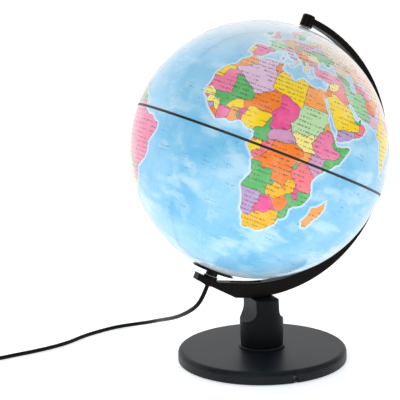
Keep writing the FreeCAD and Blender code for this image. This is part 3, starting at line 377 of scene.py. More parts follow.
lands = """
morocco amber: -6 36, -2 35, -1.2 32.3, -3.5 31, -5.5 29.8, -8.7 28.7, -8.7 27.7, -13 27.7, -11.5 28.3, -9.8 29.8,
 -9.8 31.5, -8.3 33.2, -6.8 34.1
western_sahara yellow: -13 27.7, -8.7 27.7, -8.7 26, -12 26, -12 23.5, -13 23, -13 21.3, -17 21, -16 23.7, -14.8 26
mauritania rose: -17 21, -13 21.3, -13 23, -12 23.5, -12 26, -8.7 26, -8.7 27.3, -4.8 25, -6.5 25, -5.6 16.5, -5.5 15.5,
 -9.3 15.5, -12.2 14.8, -14.5 16.6, -16.5 16, -16.3 19
algeria lilac: -2 35, 0 36, 3 36.9, 8.5 37, 8.3 35, 7.6 33.3, 9.1 32, 9.5 30.2, 9.8 26.5, 10 24.5, 12 23.5, 5.8 19.5,
 4.2 19.1, 3.2 19, 1.2 21.1, -4.8 25, -8.7 27.3, -8.7 27.7, -8.7 28.7, -5.5 29.8, -3.5 31, -1.2 32.3
tunisia orange: 8.5 37, 11 37, 10.2 34.2, 11.5 33.1, 10.2 31.5, 9.5 30.2, 9.1 32, 7.6 33.3, 8.3 35
libya yellow: 11.5 33.1, 13 32.8, 15.3 32.2, 16 31.2, 19 30.3, 20 32.3, 21.7 32.9, 25 31.7, 25 22, 25 20, 24 20, 24 19.5,
 16 23.5, 15 23, 12 23.5, 10 24.5, 9.8 26.5, 9.5 30.2, 10.2 31.5
egypt amber: 25 31.7, 29 30.9, 31 31.5, 34.2 31.3, 34.9 29.5, 34.3 27.8, 32.6 29.8, 33.9 27, 35.5 24, 36.9 22, 31.4 22, 25 22
sudan pale_green: 25 22, 31.4 22, 36.9 22, 37.3 19.5, 38.6 18, 37 17, 36.5 14.3, 35 12.8, 34.2 10.6, 33.9 9.6, 32.3 11.8,
 30 10.2, 27.5 9.6, 25 10.3, 24 8.7, 22.9 11, 22.2 12.8, 24 15.6, 24 19.5, 24 20, 25 20
south_sudan lemon: 24 8.7, 25 10.3, 27.5 9.6, 30 10.2, 32.3 11.8, 33.9 9.6, 33 8, 34.8 6, 35.9 4.6, 34 4.2, 31 3.7, 29.5 4.5,
 27.4 5.2, 26.3 6.5
eritrea amber: 38.6 18, 39.5 15.5, 41.2 14.6, 43.1 12.6, 42.4 12.5, 40.8 14.4, 38 14.5, 36.5 14.3, 37 17
ethiopia rose: 36.5 14.3, 38 14.5, 40.8 14.4, 42.4 12.5, 42 11, 44 9, 47.9 8, 45 5, 41.9 4, 39 3.5, 36.8 4.4, 35.9 4.6,
 34.8 6, 33 8, 33.9 9.6, 34.2 10.6, 35 12.8
djibouti green: 42.4 12.5, 43.1 12.6, 43.3 11.5, 42 11
somalia green: 43.3 11.5, 45 10.5, 48 11.2, 51.2 11.9, 51 10.4, 49.5 7, 48 4.5, 46 2.4, 42.5 -0.5, 41.5 -1.7, 41 -0.8,
 41 3, 41.9 4, 45 5, 47.9 8, 44 9, 42 11
kenya orchid: 41.5 -1.7, 40.2 -2.8, 39.2 -4.7, 37.7 -3.5, 34 -1, 34 0.5, 35 2, 34 4.2, 35.9 4.6, 36.8 4.4, 39 3.5, 41.9 4,
 41 3, 41 -0.8
uganda amber: 34 4.2, 35 2, 34 0.5, 34 -1, 30.5 -1.1, 29.6 -1.3, 29.7 0.5, 31.2 2.2, 31 3.7
rwanda_burundi green: 29.6 -1.3, 30.5 -1.1, 30.8 -3, 29.3 -4.5, 29 -2.8
tanzania coral: 34 -1, 37.7 -3.5, 39.2 -4.7, 38.8 -6.5, 39.5 -8.5, 40.4 -10.5, 37.5 -11.7, 34.6 -11.5, 33 -9.4, 30.7 -8.2,
 29.5 -6.5, 29.3 -4.5, 30.8 -3, 30.5 -1.1
dr_congo orange: 12.4 -6, 13.1 -4.8, 15.2 -4.4, 16.2 -2.2, 17.7 -0.5, 18 2, 18.6 4.3, 22.4 4.1, 25 5, 27.4 5.2, 29.5 4.5,
 31 3.7, 31.2 2.2, 29.7 0.5, 29.6 -1.3, 29 -2.8, 29.3 -4.5, 29.5 -6.5, 30.7 -8.2, 28.7 -8.5, 28.5 -11.5, 29.6 -12.3,
 29.7 -13.4, 27 -11.9, 25.3 -11.4, 24 -11, 22.2 -11, 21.8 -7.3, 19.4 -7, 19 -8, 17.5 -8, 16.6 -6, 13 -5.9
congo coral: 12.2 -5, 11.2 -4, 11.7 -2.5, 14.4 -1.5, 13.9 -0.2, 14.3 1.3, 13.2 2.2, 16 2, 16.1 3.5, 18.6 4.3, 18 2, 17.7 -0.5,
 16.2 -2.2, 15.2 -4.4, 13.1 -4.8
gabon yellow: 9.5 1, 11.3 1, 11.3 2.2, 13.2 2.2, 14.3 1.3, 13.9 -0.2, 14.4 -1.5, 11.7 -2.5, 11.2 -4, 9 -1
equatorial_guinea rose: 9.5 1, 11.3 1, 11.3 2.2, 9.8 2.3
cameroon green: 9.8 2.3, 11.3 2.2, 13.2 2.2, 16 2, 16.1 3.5, 14.5 5, 15.5 7.5, 14 10, 15 10, 14.5 12.8, 14.2 12.5, 13.2 9.5,
 11.8 7, 10 6.8, 8.6 4.6, 9.6 3.9
central_africa orchid: 15.5 7.5, 18.9 8.9, 20.5 9.3, 22.9 11, 24 8.7, 26.3 6.5, 27.4 5.2, 25 5, 22.4 4.1, 18.6 4.3, 16.1 3.5,
 14.5 5
chad magenta: 15 23, 16 23.5, 24 19.5, 24 15.6, 22.2 12.8, 22.9 11, 20.5 9.3, 18.9 8.9, 15.5 7.5, 14 10, 15 10, 14.5 12.8,
 13.5 13.6, 13.5 14.3, 15.5 17, 15.8 20, 15 21.5
niger orange: 12 23.5, 15 23, 15 21.5, 15.8 20, 15.5 17, 13.5 14.3, 13.5 13.6, 11 13.3, 9 12.8, 5.5 13.8, 4 13.3, 3.6 11.7,
 2.3 12, 0.3 14.8, 3.5 15.4, 4.2 16.8, 4.2 19.1, 5.8 19.5
nigeria yellow: 2.7 6.4, 2.8 9, 3.6 11.7, 4 13.3, 5.5 13.8, 9 12.8, 11 13.3, 13.5 13.6, 14.5 12.8, 14.2 12.5, 13.2 9.5, 11.8 7,
 10 6.8, 8.6 4.6, 7 4.4, 5.5 5, 4.5 6.3
benin magenta: 1.6 6.2, 2.7 6.4, 2.8 9, 3.6 11.7, 2.3 12, 1 11, 1.6 9
togo green: 1.2 6.1, 1.6 6.2, 1.6 9, 1 11, 0 11, 0.5 8.5
ghana amber: -3.1 5.1, -2 4.8, 1.2 6.1, 0.5 8.5, 0 11, -2.8 11, -2.8 9.8, -2.8 8
burkina yellow: -2.8 11, 0 11, 1 11, 2.3 12, 0.3 14.8, -2 14.2, -4.2 12.5, -5.4 10.4, -2.8 9.8
ivory_coast rose: -7.5 4.4, -3.1 5.1, -2.8 8, -2.8 9.8, -5.4 10.4, -8 10.2, -8.2 7.6
liberia orange: -7.5 4.4, -8.2 7.6, -9.4 7.5, -10.3 8.5, -11.5 6.9, -9.5 5.7
sierra_leone violet: -11.5 6.9, -10.3 8.5, -11.2 10, -13.3 9
guinea lemon: -13.3 9, -11.2 10, -10.3 8.5, -9.4 7.5, -8.2 7.6, -8 10.2, -9 12.3, -11.4 12.4, -13.7 12.6, -14.8 10.9
guinea_bissau rose: -14.8 10.9, -13.7 12.6, -16.7 12.3
senegal lemon: -16.7 12.3, -13.7 12.6, -11.4 12.4, -12.2 14.8, -14.5 16.6, -16.5 16, -17.4 14.7
mali green: -4.8 25, 1.2 21.1, 3.2 19, 4.2 19.1, 4.2 16.8, 3.5 15.4, 0.3 14.8, -2 14.2, -4.2 12.5, -5.4 10.4, -8 10.2, -9 12.3,
 -11.4 12.4, -12.2 14.8, -9.3 15.5, -5.5 15.5, -5.6 16.5, -6.5 25
angola green: 12.4 -6, 13 -5.9, 16.6 -6, 17.5 -8, 19 -8, 19.4 -7, 21.8 -7.3, 22.2 -11, 24 -11, 24 -13, 22 -13, 22 -16.2,
 23.4 -17.6, 20 -17.9, 18.5 -17.4, 14 -17.4, 11.8 -17.3, 12.3 -14.5, 13.7 -12, 13.7 -10.7, 13 -8.8
zambia gold: 24 -11, 25.3 -11.4, 27 -11.9, 29.7 -13.4, 29.6 -12.3, 28.5 -11.5, 28.7 -8.5, 30.7 -8.2, 33 -9.4, 33.3 -12.5,
 32.7 -13.7, 30.2 -15, 30.4 -15.7, 28.8 -16, 27 -18, 25.3 -17.8, 23.4 -17.6, 22 -16.2, 22 -13, 24 -13
malawi magenta: 33 -9.4, 34.6 -11.5, 34.7 -12, 35.7 -14.6, 35.3 -17, 34.3 -15, 32.7 -13.7, 33.3 -12.5
mozambique green: 40.4 -10.5, 40.7 -14, 39.5 -16.7, 36.8 -18, 34.9 -19.9, 35.5 -22.5, 35.4 -24, 32.8 -25.8, 32.8 -26.8,
 32 -26.8, 32 -24.5, 31.3 -22.4, 32.8 -20, 33 -17, 30.4 -15.7, 30.2 -15, 32.7 -13.7, 34.3 -15, 35.3 -17, 35.7 -14.6,
 34.7 -12, 34.6 -11.5, 37.5 -11.7
zimbabwe orange: 25.3 -17.8, 27 -18, 28.8 -16, 30.4 -15.7, 33 -17, 32.8 -20, 31.3 -22.4, 29.4 -22.2, 27.7 -20.6
botswana magenta: 25.3 -17.8, 27.7 -20.6, 29.4 -22.2, 27 -23.6, 25.6 -25.7, 22.8 -25.3, 20.7 -26.9, 20 -24.8, 20 -22, 21 -22,
 21 -18.2, 23.4 -17.6
namibia violet: 11.8 -17.3, 14 -17.4, 18.5 -17.4, 20 -17.9, 23.4 -17.6, 21 -18.2, 21 -22, 20 -22, 20 -24.8, 20 -28.4,
 17.4 -28.7, 16.5 -28.6, 15.2 -26.8, 14.5 -23, 13.4 -20.5
south_africa gold: 16.5 -28.6, 17.4 -28.7, 20 -28.4, 20 -24.8, 20.7 -26.9, 22.8 -25.3, 25.6 -25.7, 27 -23.6, 29.4 -22.2,
 31.3 -22.4, 32 -24.5, 32 -26.8, 32.8 -26.8, 32.4 -28.5, 31 -30, 28.5 -32.8, 25.7 -34, 22 -34.1, 20 -34.8, 18.4 -34.2,
 18.2 -32
madagascar amber: 49.3 -12, 50.4 -15.7, 49.4 -18, 47.2 -25, 45.2 -25.5, 43.5 -23, 44.4 -20, 44.3 -16.3, 47 -15.3
portugal yellow: -9 37, -7.4 37.2, -7 41.8, -8.9 41.9, -9.4 38.8
spain magenta: -7.4 37.2, -5.6 36, -2 36.8, -0.5 38.3, 0 39.8, 3.2 41.8, 3.1 42.4, -1.8 43.4, -9.2 43.2, -8.9 41.9, -7 41.8
france mint: -1.8 43.4, 3.1 42.4, 4 43.5, 7.5 43.8, 6.8 46, 7.6 47.6, 8.2 49, 6 49.5, 2.5 51, 1.6 50.2, -1.5 49.6, -1.6 48.6,
 -4.7 48.4, -2 47, -1.2 45
low_countries rose: 2.5 51, 6 49.5, 6 51, 7 53.3, 4.8 53, 3.5 51.4
germany amber: 6 49.5, 8.2 49, 7.6 47.6, 13 47.6, 12.2 50.2, 15 51, 14.2 53.9, 11 54, 9.5 54.8, 8.7 53.9, 7 53.3, 6 51
denmark yellow: 8.2 55, 9.5 54.8, 10.5 57.6, 8.2 57
alps coral: 7.6 47.6, 6.8 46, 10.5 46.5, 13.7 46.5, 16.5 47, 17 48.2, 15 49, 13 47.6
italy lilac: 7.5 43.8, 8.9 44.4, 10.3 43.5, 12.3 41.7, 15.7 40, 16 38, 17 39, 16.6 40.4, 18.4 40, 16 41.8, 13.6 43.6, 12.3 45,
 13.7 45.7, 13.7 46.5, 10.5 46.5, 6.8 46
sicily lilac: 12.5 38, 15.6 38.2, 15.1 36.7
sardinia lilac: 8.4 40.9, 9.6 41.1, 9.5 39.2, 8.5 39
corsica mint: 8.7 42.5, 9.4 43, 9.5 42, 9.1 41.5
poland rose: 14.2 53.9, 18.5 54.7, 23.5 54, 23.6 51.5, 22.5 49.2, 18.8 49.5, 15 51
bohemia green: 12.2 50.2, 15 51, 18.8 49.5, 22.5 49.2, 22 48.2, 17 48.2, 15 49, 13 47.6
hungary yellow: 16.5 47, 17 48.2, 22 48.2, 22.5 47.5, 20.5 46.1, 18.8 45.9
illyria orange: 13.7 45.7, 13.7 46.5, 16.5 47, 18.8 45.9, 20.5 46.1, 22.5 44.5, 22.5 42.3, 20.5 41.9, 19.4 41.9, 17 43.2,
 15 44.8
albania green: 19.4 41.9, 20.5 41.9, 21 40.9, 20.2 39.6, 19.4 40.5
greece sand: 20.2 39.6, 21 40.9, 23 41.3, 26.3 41.7, 26 40.8, 23.8 40.4, 22.9 39.2, 24 37.8, 22.8 36.6, 21.4 37.4
crete sand: 23.5 35.5, 26.2 35.3, 24.8 34.9
bulgaria rose: 22.5 44.5, 27.8 44, 28 42, 26.3 41.7, 23 41.3, 22.5 42.3
romania lemon: 22.5 47.5, 25 47.9, 27 48.2, 28.2 45.5, 29.6 45.2, 28.6 43.8, 27.8 44, 22.5 44.5, 20.5 46.1
ukraine green: 23.6 51.5, 31 52, 34 51.5, 40 49.5, 38 47.2, 35 46.3, 36.5 45.3, 33.6 44.4, 32.7 46, 31 46.6, 29.6 45.2,
 28.2 45.5, 27 48.2, 22 48.2, 22.5 49.2
belarus lilac: 23.5 54, 26.6 55.7, 31 55.5, 32.5 53.2, 31 52, 23.6 51.5
baltics yellow: 21 55.3, 21 57.5, 24.3 57.5, 23.5 59.2, 28 59.5, 28.2 56.2, 26.6 55.7, 23.5 54
finland lilac: 23 60, 28 60.6, 31.5 62.9, 29 66.8, 29 69.8, 26 69.7, 21 69, 24 65.8, 21.3 62.8, 21.3 60.8
sweden green: 11.2 59, 12.9 55.5, 16.4 57, 18.8 60, 17.3 62, 21.5 65, 24 65.8, 21 69, 16 68, 12 63.5
norway coral: 11.2 59, 12 63.5, 16 68, 21 69, 26 69.7, 29 69.8, 25.5 71, 18.5 70, 12.5 66.5, 5 62, 5.5 59, 8 58
britain rose: -5.6 50.1, 1.3 51.2, 1.7 52.8, -1.5 55, -2 57.6, -3.2 58.6, -5.5 58, -4.8 54.8, -3 54, -4.4 52.8, -4.2 51.5
ireland green: -10 51.7, -6.3 52.2, -5.6 54.6, -8 55.2, -10 54.2, -9.3 53
iceland yellow: -22.5 64, -18.5 63.4, -14 65, -16 66.4, -22.5 66.3
russia sand: 31.5 62.9, 28 60.6, 28 59.5, 28.2 56.2, 31 55.5, 32.5 53.2, 31 52, 34 51.5, 40 49.5, 38 47.2, 39.5 43.7, 47.5 42,
 47.5 45.7, 48 50, 55 51, 61 51, 61 54, 70 55, 76 54, 81 51, 87 49.2, 98 50.5, 107 49.8, 117 49.6, 120 53, 127 50, 131 47.8,
 131 43, 135 43.4, 140 48.5, 141 53, 137 54, 143 59.3, 155 59.3, 156 51, 162 56, 163 60, 171 60.5, 180 62.5, 190 66, 180 69,
 170 70, 160 70, 150 71.5, 138 72, 128 73.5, 113 74, 105 77.5, 98 76.3, 87 75, 81 73, 72 73, 68 68.5, 60 69, 54 68.5,
 46 67, 44 66, 38 64, 35 64.5, 41 66.5, 37 69, 29 69.8, 29 66.8
novaya_zemlya sand: 52 71, 56 73.5, 68 77, 62 76, 54 73
turkey rose: 26 40.8, 26.3 41.7, 28 42, 29.5 41.2, 33 42, 37 41, 41.5 41.5, 44.5 39.8, 44.6 37.3, 42.4 37.2, 36.5 36.7,
 36 36, 32 36.2, 28 36.8, 26.5 39
caucasus green: 41.5 41.5, 40 43.4, 47.5 42, 49.5 40.5, 48.8 38.4, 46.5 38.9, 44.5 39.8
cyprus green: 32.3 34.9, 34.5 35.6, 33 34.6
syria lemon: 36 36, 36.5 36.7, 42.4 37.2, 41.2 34.5, 38.8 33.4, 36 32.6
iraq coral: 42.4 37.2, 44.6 37.3, 45.5 35.8, 46 33.2, 48.2 30.5, 46.5 29.2, 44.7 29.2, 39.2 32.1, 38.8 33.4, 41.2 34.5
levant orange: 36 36, 36 32.6, 38.8 33.4, 39.2 32.1, 37 31.4, 38 30, 35 29.5, 34.2 31.3
arabia yellow: 35 29.5, 38 30, 37 31.4, 39.2 32.1, 44.7 29.2, 46.5 29.2, 48 28.5, 50.2 26.6, 51.5 24.5, 52 23, 55.2 22.5,
 55 20, 52 19, 48.5 18.2, 44 17.3, 42.8 16.4, 40.5 19.6, 39 21.8, 37 25
yemen violet: 42.8 16.4, 44 17.3, 48.5 18.2, 52 19, 53 16.7, 49 14.3, 45 12.9, 43.3 12.8
oman coral: 53 16.7, 52 19, 55 20, 55.2 22.5, 56 24.6, 58.8 23.6, 59.8 22.4, 57.8 19
emirates green: 51.5 24.2, 54.2 24.2, 56.2 26, 56 24.6, 55.2 22.5, 52 23
iran mint: 44.5 39.8, 46.5 38.9, 48.8 38.4, 50.5 37, 54 37.2, 58 38, 61 36.5, 60.7 32.5, 61.7 31, 63 27.2, 61.6 25.2, 57.2 25.9,
 54.5 26.6, 51.3 28, 50 30.2, 48.2 30.5, 46 33.2, 45.5 35.8, 44.6 37.3
turkmenistan coral: 54 37.2, 58 38, 61 36.5, 64.5 36.3, 66.5 37.4, 60 42, 56 41.3, 53 41.8
uzbekistan lilac: 66.5 37.4, 68 37.5, 71 40.5, 67 41.5, 65 43.5, 60 45.5, 56 45, 56 41.3, 60 42
kirghizia yellow: 68 37.5, 75 37.3, 80 42, 71 42.8, 67 41.5, 71 40.5
kazakhstan amber: 47.5 45.7, 51.5 46.8, 53 44.5, 53 41.8, 56 41.3, 56 45, 60 45.5, 65 43.5, 67 41.5, 71 42.8, 80 42, 83 46,
 87 49.2, 81 51, 76 54, 70 55, 61 54, 61 51, 55 51, 48 50
afghanistan orange: 61 36.5, 64.5 36.3, 66.5 37.4, 68 37.5, 75 37.3, 71 34.5, 69.5 32, 66.3 29.9, 61.7 31, 60.7 32.5
pakistan lilac: 61.7 31, 66.3 29.9, 69.5 32, 71 34.5, 75 37.3, 78 35.5, 74.5 32.5, 74.4 30.8, 70 27.8, 71 24.5, 67 24.8,
 61.6 25.2, 63 27.2
india yellow: 75 37.3, 78 35.5, 79 32, 80.5 30.2, 81.5 28.2, 88 26.6, 92 27.5, 97 28, 94 24, 92 25, 89 25.5, 89 21.8, 86 20,
 82 16.6, 80.2 13.5, 79.8 10.3, 77.5 8.1, 75 12, 73 17, 72.7 21, 70.5 20.8, 68.8 22.5, 71 24.5, 70 27.8, 74.4 30.8, 74.5 32.5
bengal green: 89 25.5, 92 25, 92.3 21, 89 21.8
nepal magenta: 80.5 30.2, 88 27.9, 88 26.6, 81.5 28.2
ceylon green: 79.8 8, 80.2 9.7, 81.8 7.3, 80.6 6
china sand: 75 37.3, 73.8 39.7, 80 42, 83 46, 87 49.2, 91 45.5, 96 42.7, 105 41.7, 111 43.6, 116 46.5, 117 49.6, 120 53,
 127 50, 131 47.8, 131 43, 128 42, 124.3 40, 121.5 39, 121 41, 118 39, 122.4 37, 119.3 35, 121.8 31.5, 121.5 28.3, 118.5 24.7,
 114 22.3, 110 21, 108 21.6, 105 23, 101.5 21.5, 98.5 24, 97 28, 92 27.5, 88 27.9, 80.5 30.2, 79 32, 78 35.5
mongolia rose: 87 49.2, 98 50.5, 107 49.8, 117 49.6, 116 46.5, 111 43.6, 105 41.7, 96 42.7, 91 45.5
korea green: 124.3 40, 128 42, 130.5 42.4, 127.6 39.6, 129.4 37, 129.2 35.2, 126.4 34.5, 126.7 37.7
honshu coral: 130.9 34.2, 132.6 35.5, 136.7 37, 139.5 38.5, 140.2 41.2, 141.9 39.5, 140.8 35.8, 138.8 34.8, 135.7 33.6,
 134 34.6
kyushu coral: 129.8 33, 131.7 33.6, 131.4 31.5, 130.3 31.3
hokkaido coral: 140 42.5, 141.8 45.4, 145.3 43.4, 142.5 42.2
taiwan amber: 120.2 23, 121.5 25.2, 120.9 22
hainan sand: 108.8 19.2, 110.6 20.1, 109.6 18.3
burma rose: 92.3 21, 92 25, 94 24, 97 28, 98.5 24, 101 21.6, 97.8 18, 98.8 14, 98.8 10, 97.5 16, 94.5 16
siam green: 101 21.6, 97.8 18, 98.8 14, 98.8 10, 98.3 8, 100.4 6.4, 101.9 6, 99.3 10.5, 100.5 13.5, 102.7 12, 105.5 14.3,
 104 18
indochina lemon: 101 21.6, 105 23, 108 21.6, 105.8 19, 108.3 16, 109.3 12.5, 106.8 10.4, 104.8 8.7, 102.7 12, 105.5 14.3, 104 18
malaya orange: 100.4 6.4, 101.9 6, 103.4 4, 104.1 1.4, 101.3 2.8
sumatra green: 95.3 5.6, 98 4.4, 103 0, 106 -3, 105.8 -5.8, 102.3 -4, 99 0.5
java green: 105.2 -6.8, 108.5 -6.5, 112.7 -6.8, 114.5 -8.5, 108.5 -7.8
borneo green: 109 1.7, 112.9 3.2, 116.8 7, 119 5.2, 117.5 1, 116.3 -3.8, 114 -3.4, 110.2 -2.8
celebes green: 119.6 0, 120.9 1.3, 125 1.5, 120.3 0.4, 123.3 -0.9, 121.4 -2, 122.7 -4.8, 120.4 -3, 120.3 -5.5, 119.4 -3.4
timor green: 119 -9.3, 123 -8.6, 127 -8.5, 123.5 -10.2
luzon rose: 120.2 16.2, 120.7 18.5, 122.3 18.4, 121.6 14.6, 124 12.8, 120.6 13.8
mindanao rose: 122 7.2, 125.3 9.8, 126.4 7.6, 125.5 5.8, 124 6.8
new_guinea violet: 131 -0.8, 134.2 -0.8, 137.8 -1.5, 141 -2.6, 145.8 -5.2, 147.8 -6, 150.7 -10.4, 146.5 -9, 143 -8.5,
 138 -8.2, 137.8 -5.2, 133 -4
new_britain violet: 148.5 -5.7, 152 -4.3, 151 -6
western_australia coral: 129 -15, 125.5 -14.3, 122.2 -18, 116.5 -20.6, 113.8 -22.5, 113.6 -26, 115.7 -31.5, 115 -34.3, 118 -35,
 123.5 -33.9, 129 -31.6
northern_territory yellow: 129 -15, 130.7 -12.5, 133 -11.6, 136.7 -12.2, 135.5 -14.8, 138 -16.7, 138 -26, 129 -26
south_australia green: 129 -26, 138 -26, 141 -26, 141 -38, 138.3 -35.5, 137.6 -33, 135.5 -34.8, 131.5 -31.5, 129 -31.6
queensland amber: 138 -16.7, 140.8 -17.5, 141.6 -14, 142.5 -10.8, 145.4 -15, 146.3 -18.9, 149 -20.4, 153 -25, 153.5 -28.2,
 149 -28.8, 141 -29, 141 -26, 138 -26
new_south_wales lilac: 141 -29, 149 -28.8, 153.5 -28.2, 152.5 -32.3, 150 -37.3, 146 -36, 141 -34
victoria rose: 141 -34, 146 -36, 150 -37.3, 146.4 -39, 143.5 -38.8, 141 -38
tasmania orange: 144.7 -40.8, 148.2 -41, 147 -43.5, 145.5 -42.5
north_island lilac: 172.8 -34.5, 175.5 -36.8, 178.4 -37.7, 176.9 -39.6, 175.2 -41.6, 173.9 -39.3, 174.7 -37.2
south_island lilac: 172.7 -40.6, 174.3 -41.8, 172.7 -43.8, 170.7 -46, 168.3 -46.6, 166.6 -45.8, 169.5 -43.6
greenland mint: -73 78.2, -60 82, -33 83.5, -18 80, -20 75, -24 70.5, -33 67.5, -40 65, -43.5 60, -48 61, -52 65, -53 69,
 -58 75.5, -68 76
alaska lemon: -141 69.7, -156 71.3, -166 68.5, -162 66.5, -168 65.6, -161 64.3, -165.5 61.5, -158 58.7, -164 54.6, -152 58.5,
 -150 61, -141 60
canada rose: -141 69.7, -128 70.3, -115 68, -108 68, -96 68, -95 71.8, -92 69.5, -82 69.5, -86 66.3, -94 61, -94.5 58.8, -88 56.5,
 -82.2 55, -80 51.5, -79 54.5, -76.5 57, -78 62.3, -72 61.5, -69 59, -64 60, -60 55, -56 52, -60 50, -66.5 50, -69 48, -64.5 48.8,
 -64.5 46.2, -60 46, -65.8 43.6, -67 45, -69.2 47.4, -71.5 45, -75 45, -79 43.3, -83 42.2, -83.5 46, -88 48.3, -95 49, -123 49,
 -128 52, -130.5 55, -135.5 59.5, -141 60
baffin rose: -62 66.5, -68 63, -78 64.5, -73 66, -68 70.3, -80 73.5, -89 71, -79 70, -72 68
victoria_island rose: -105 69.2, -117 70, -118 72.5, -108 73, -101 71
ellesmere rose: -62 82.5, -80 76.5, -89 77, -90 81, -75 83
banks_islands rose: -125 72, -120 76, -98 78.5, -100 75, -118 73.5
newfoundland rose: -59.3 47.7, -55.5 51.5, -53 47.5
western_states amber: -123 49, -111 49, -111 37, -103 37, -103 32, -106.5 31.8, -111 31.3, -114.8 32.5, -117.1 32.5, -120.6 34.5,
 -122.4 37.2, -124.3 40.4, -124 46
plains lemon: -111 49, -95 49, -90 47, -91 43.5, -91 40, -94.5 36.5, -94.5 33.6, -94 29.6, -97.2 27.7, -97.2 25.9, -99.5 27.5,
 -103 29, -106.5 31.8, -103 32, -103 37, -111 37
eastern_states green: -95 49, -88 48.3, -83.5 46, -83 42.2, -79 43.3, -75 45, -71.5 45, -69.2 47.4, -67 45, -70.5 43, -70 41.6,
 -74 40.6, -76 37, -75.7 35.3, -78.5 33.8, -81.3 31.3, -80.1 26.5, -81.1 25.2, -82.7 28, -84.2 30, -89 30.2, -94 29.6,
 -94.5 33.6, -94.5 36.5, -91 40, -91 43.5, -90 47
mexico magenta: -117.1 32.5, -114.8 32.5, -111 31.3, -106.5 31.8, -103 29, -99.5 27.5, -97.2 25.9, -97.8 22.3, -95 18.6, -91.5 18.5,
 -90.4 21, -87 21.5, -88.3 18.2, -91.4 17.2, -92.2 14.6, -96 15.8, -101.7 17.7, -105.5 20.4, -106.5 23.5, -112.8 30, -114.6 31.5,
 -109.6 23.2, -112.2 25, -115 29.5
central_america orange: -92.2 14.6, -91.4 17.2, -88.3 18.2, -88.5 15.8, -83.3 15, -83.7 11, -81.5 9, -79.5 9.5, -77.3 8.6,
 -78 7.4, -80.3 7.3, -83 8.3, -85.8 10.5, -87.7 13
cuba rose: -84.9 21.9, -82.5 23.1, -77.3 21.8, -74.2 20.2, -77.7 19.9, -78.5 21
hispaniola yellow: -74.4 18.4, -72.8 19.9, -69.8 19.8, -68.4 18.4, -71.4 17.7
jamaica green: -78.3 18.3, -76.3 18, -77.5 17.8
colombia lilac: -77.3 8.6, -75 11, -72 12.3, -73 9.2, -72 7.3, -67.5 6.2, -67 1.2, -70 0.6, -70 -4.2, -72.5 -2.4, -75.4 0,
 -78.8 1.4, -77.3 4, -78 7.4
venezuela yellow: -72 12.3, -70 11.6, -65 10.2, -61.9 10.6, -60 8.3, -61 6.7, -60.7 5.2, -64 4, -64 1.5, -67 1.2, -67.5 6.2, -72 7.3,
 -73 9.2
guianas green: -60 8.3, -57 6, -52 4.5, -52.5 2.2, -58.5 1.3, -60.7 5.2, -61 6.7
ecuador green: -78.8 1.4, -75.4 0, -76 -2.5, -79 -5, -80.3 -3.4, -81 -2.2, -80 0.4
peru coral: -80.3 -3.4, -79 -5, -76 -2.5, -75.4 0, -72.5 -2.4, -70 -4.2, -73.7 -7.3, -70.5 -9.5, -69 -12.5, -69.5 -17.5, -70.4 -18.3,
 -76.2 -14.2, -79.5 -7.8, -81.3 -5
brazil rose: -52 4.5, -50 1.8, -48.5 -0.8, -44.3 -2.6, -40 -2.9, -37 -4.9, -35.2 -5.4, -34.8 -8, -37.2 -11.2, -39 -13.5, -39.2 -17.8,
 -41 -21.5, -44.5 -23.2, -48.4 -26, -49 -28.8, -53.4 -33.7, -57.6 -30.2, -53.8 -27.2, -54.5 -24, -58 -20.2, -57.6 -18, -60.2 -16,
 -61 -13.5, -65.3 -10.8, -70.5 -9.5, -73.7 -7.3, -70 -4.2, -70 0.6, -67 1.2, -64 1.5, -64 4, -60.7 5.2, -58.5 1.3, -52.5 2.2
bolivia amber: -69 -12.5, -70.5 -9.5, -65.3 -10.8, -61 -13.5, -60.2 -16, -57.6 -18, -58 -20.2, -62.3 -20.6, -62.7 -22.2, -67.2 -22.8,
 -69.5 -17.5
paraguay green: -58 -20.2, -54.5 -24, -53.8 -27.2, -58.6 -27.3, -57.6 -25.2, -62.7 -22.2, -62.3 -20.6
uruguay yellow: -57.6 -30.2, -53.4 -33.7, -55 -34.9, -58.4 -34
argentina lemon: -62.7 -22.2, -57.6 -25.2, -58.6 -27.3, -53.8 -27.2, -57.6 -30.2, -58.4 -34, -56.8 -36.4, -62 -39, -65 -41, -65.5 -45,
 -67.5 -46.3, -65.8 -47.8, -69 -51.5, -68.4 -54.8, -68.6 -52.3, -72.3 -51, -73.3 -49, -71.5 -44, -70 -33, -68.4 -25, -67.2 -22.8
chile magenta: -70.4 -18.3, -69.5 -17.5, -67.2 -22.8, -68.4 -25, -70 -33, -71.5 -44, -73.3 -49, -72.3 -51, -68.6 -52.3, -68.4 -54.8,
 -72 -54, -75.5 -48, -73 -41.8, -73.4 -37.2, -71.5 -30
antarctica ice: -180 -78, -165 -78.3, -150 -76.5, -130 -74, -100 -73, -78 -73, -68 -67, -57 -63.3, -62 -70, -64 -76, -40 -78,
 -26 -75.5, -10 -71, 10 -70, 35 -69, 50 -66.5, 70 -69.5, 80 -67, 100 -66, 115 -66.5, 135 -66, 150 -68.5, 170 -71.5, 165 -77, 180 -78,
 180 -81, 90 -81, 0 -81, -90 -81, -180 -81
"""

coast_step = 0.9
coast_wobble = 0.55
border_width = 0.13
patch_size = 3
print_step = 0.00007
shore_width = 1.5


def on_unit_ball(longitude, latitude):
    """A direction from the ball's centre, in the map's own frame."""
    east = math.radians(longitude)
    north = math.radians(latitude)
    return Vector((math.cos(north) * math.cos(east), math.cos(north) * math.sin(east), math.sin(north)))


def roughened(longitude, latitude):
    """Bends a coast or border a little, always the same way at the same place."""
    direction = on_unit_ball(longitude, latitude)
    bend = noise.noise_vector(direction * 22) + 0.6 * noise.noise_vector(direction * 60)
    return longitude + coast_wobble * bend.x / max(0.3, math.cos(math.radians(latitude))), latitude + coast_wobble * bend.y


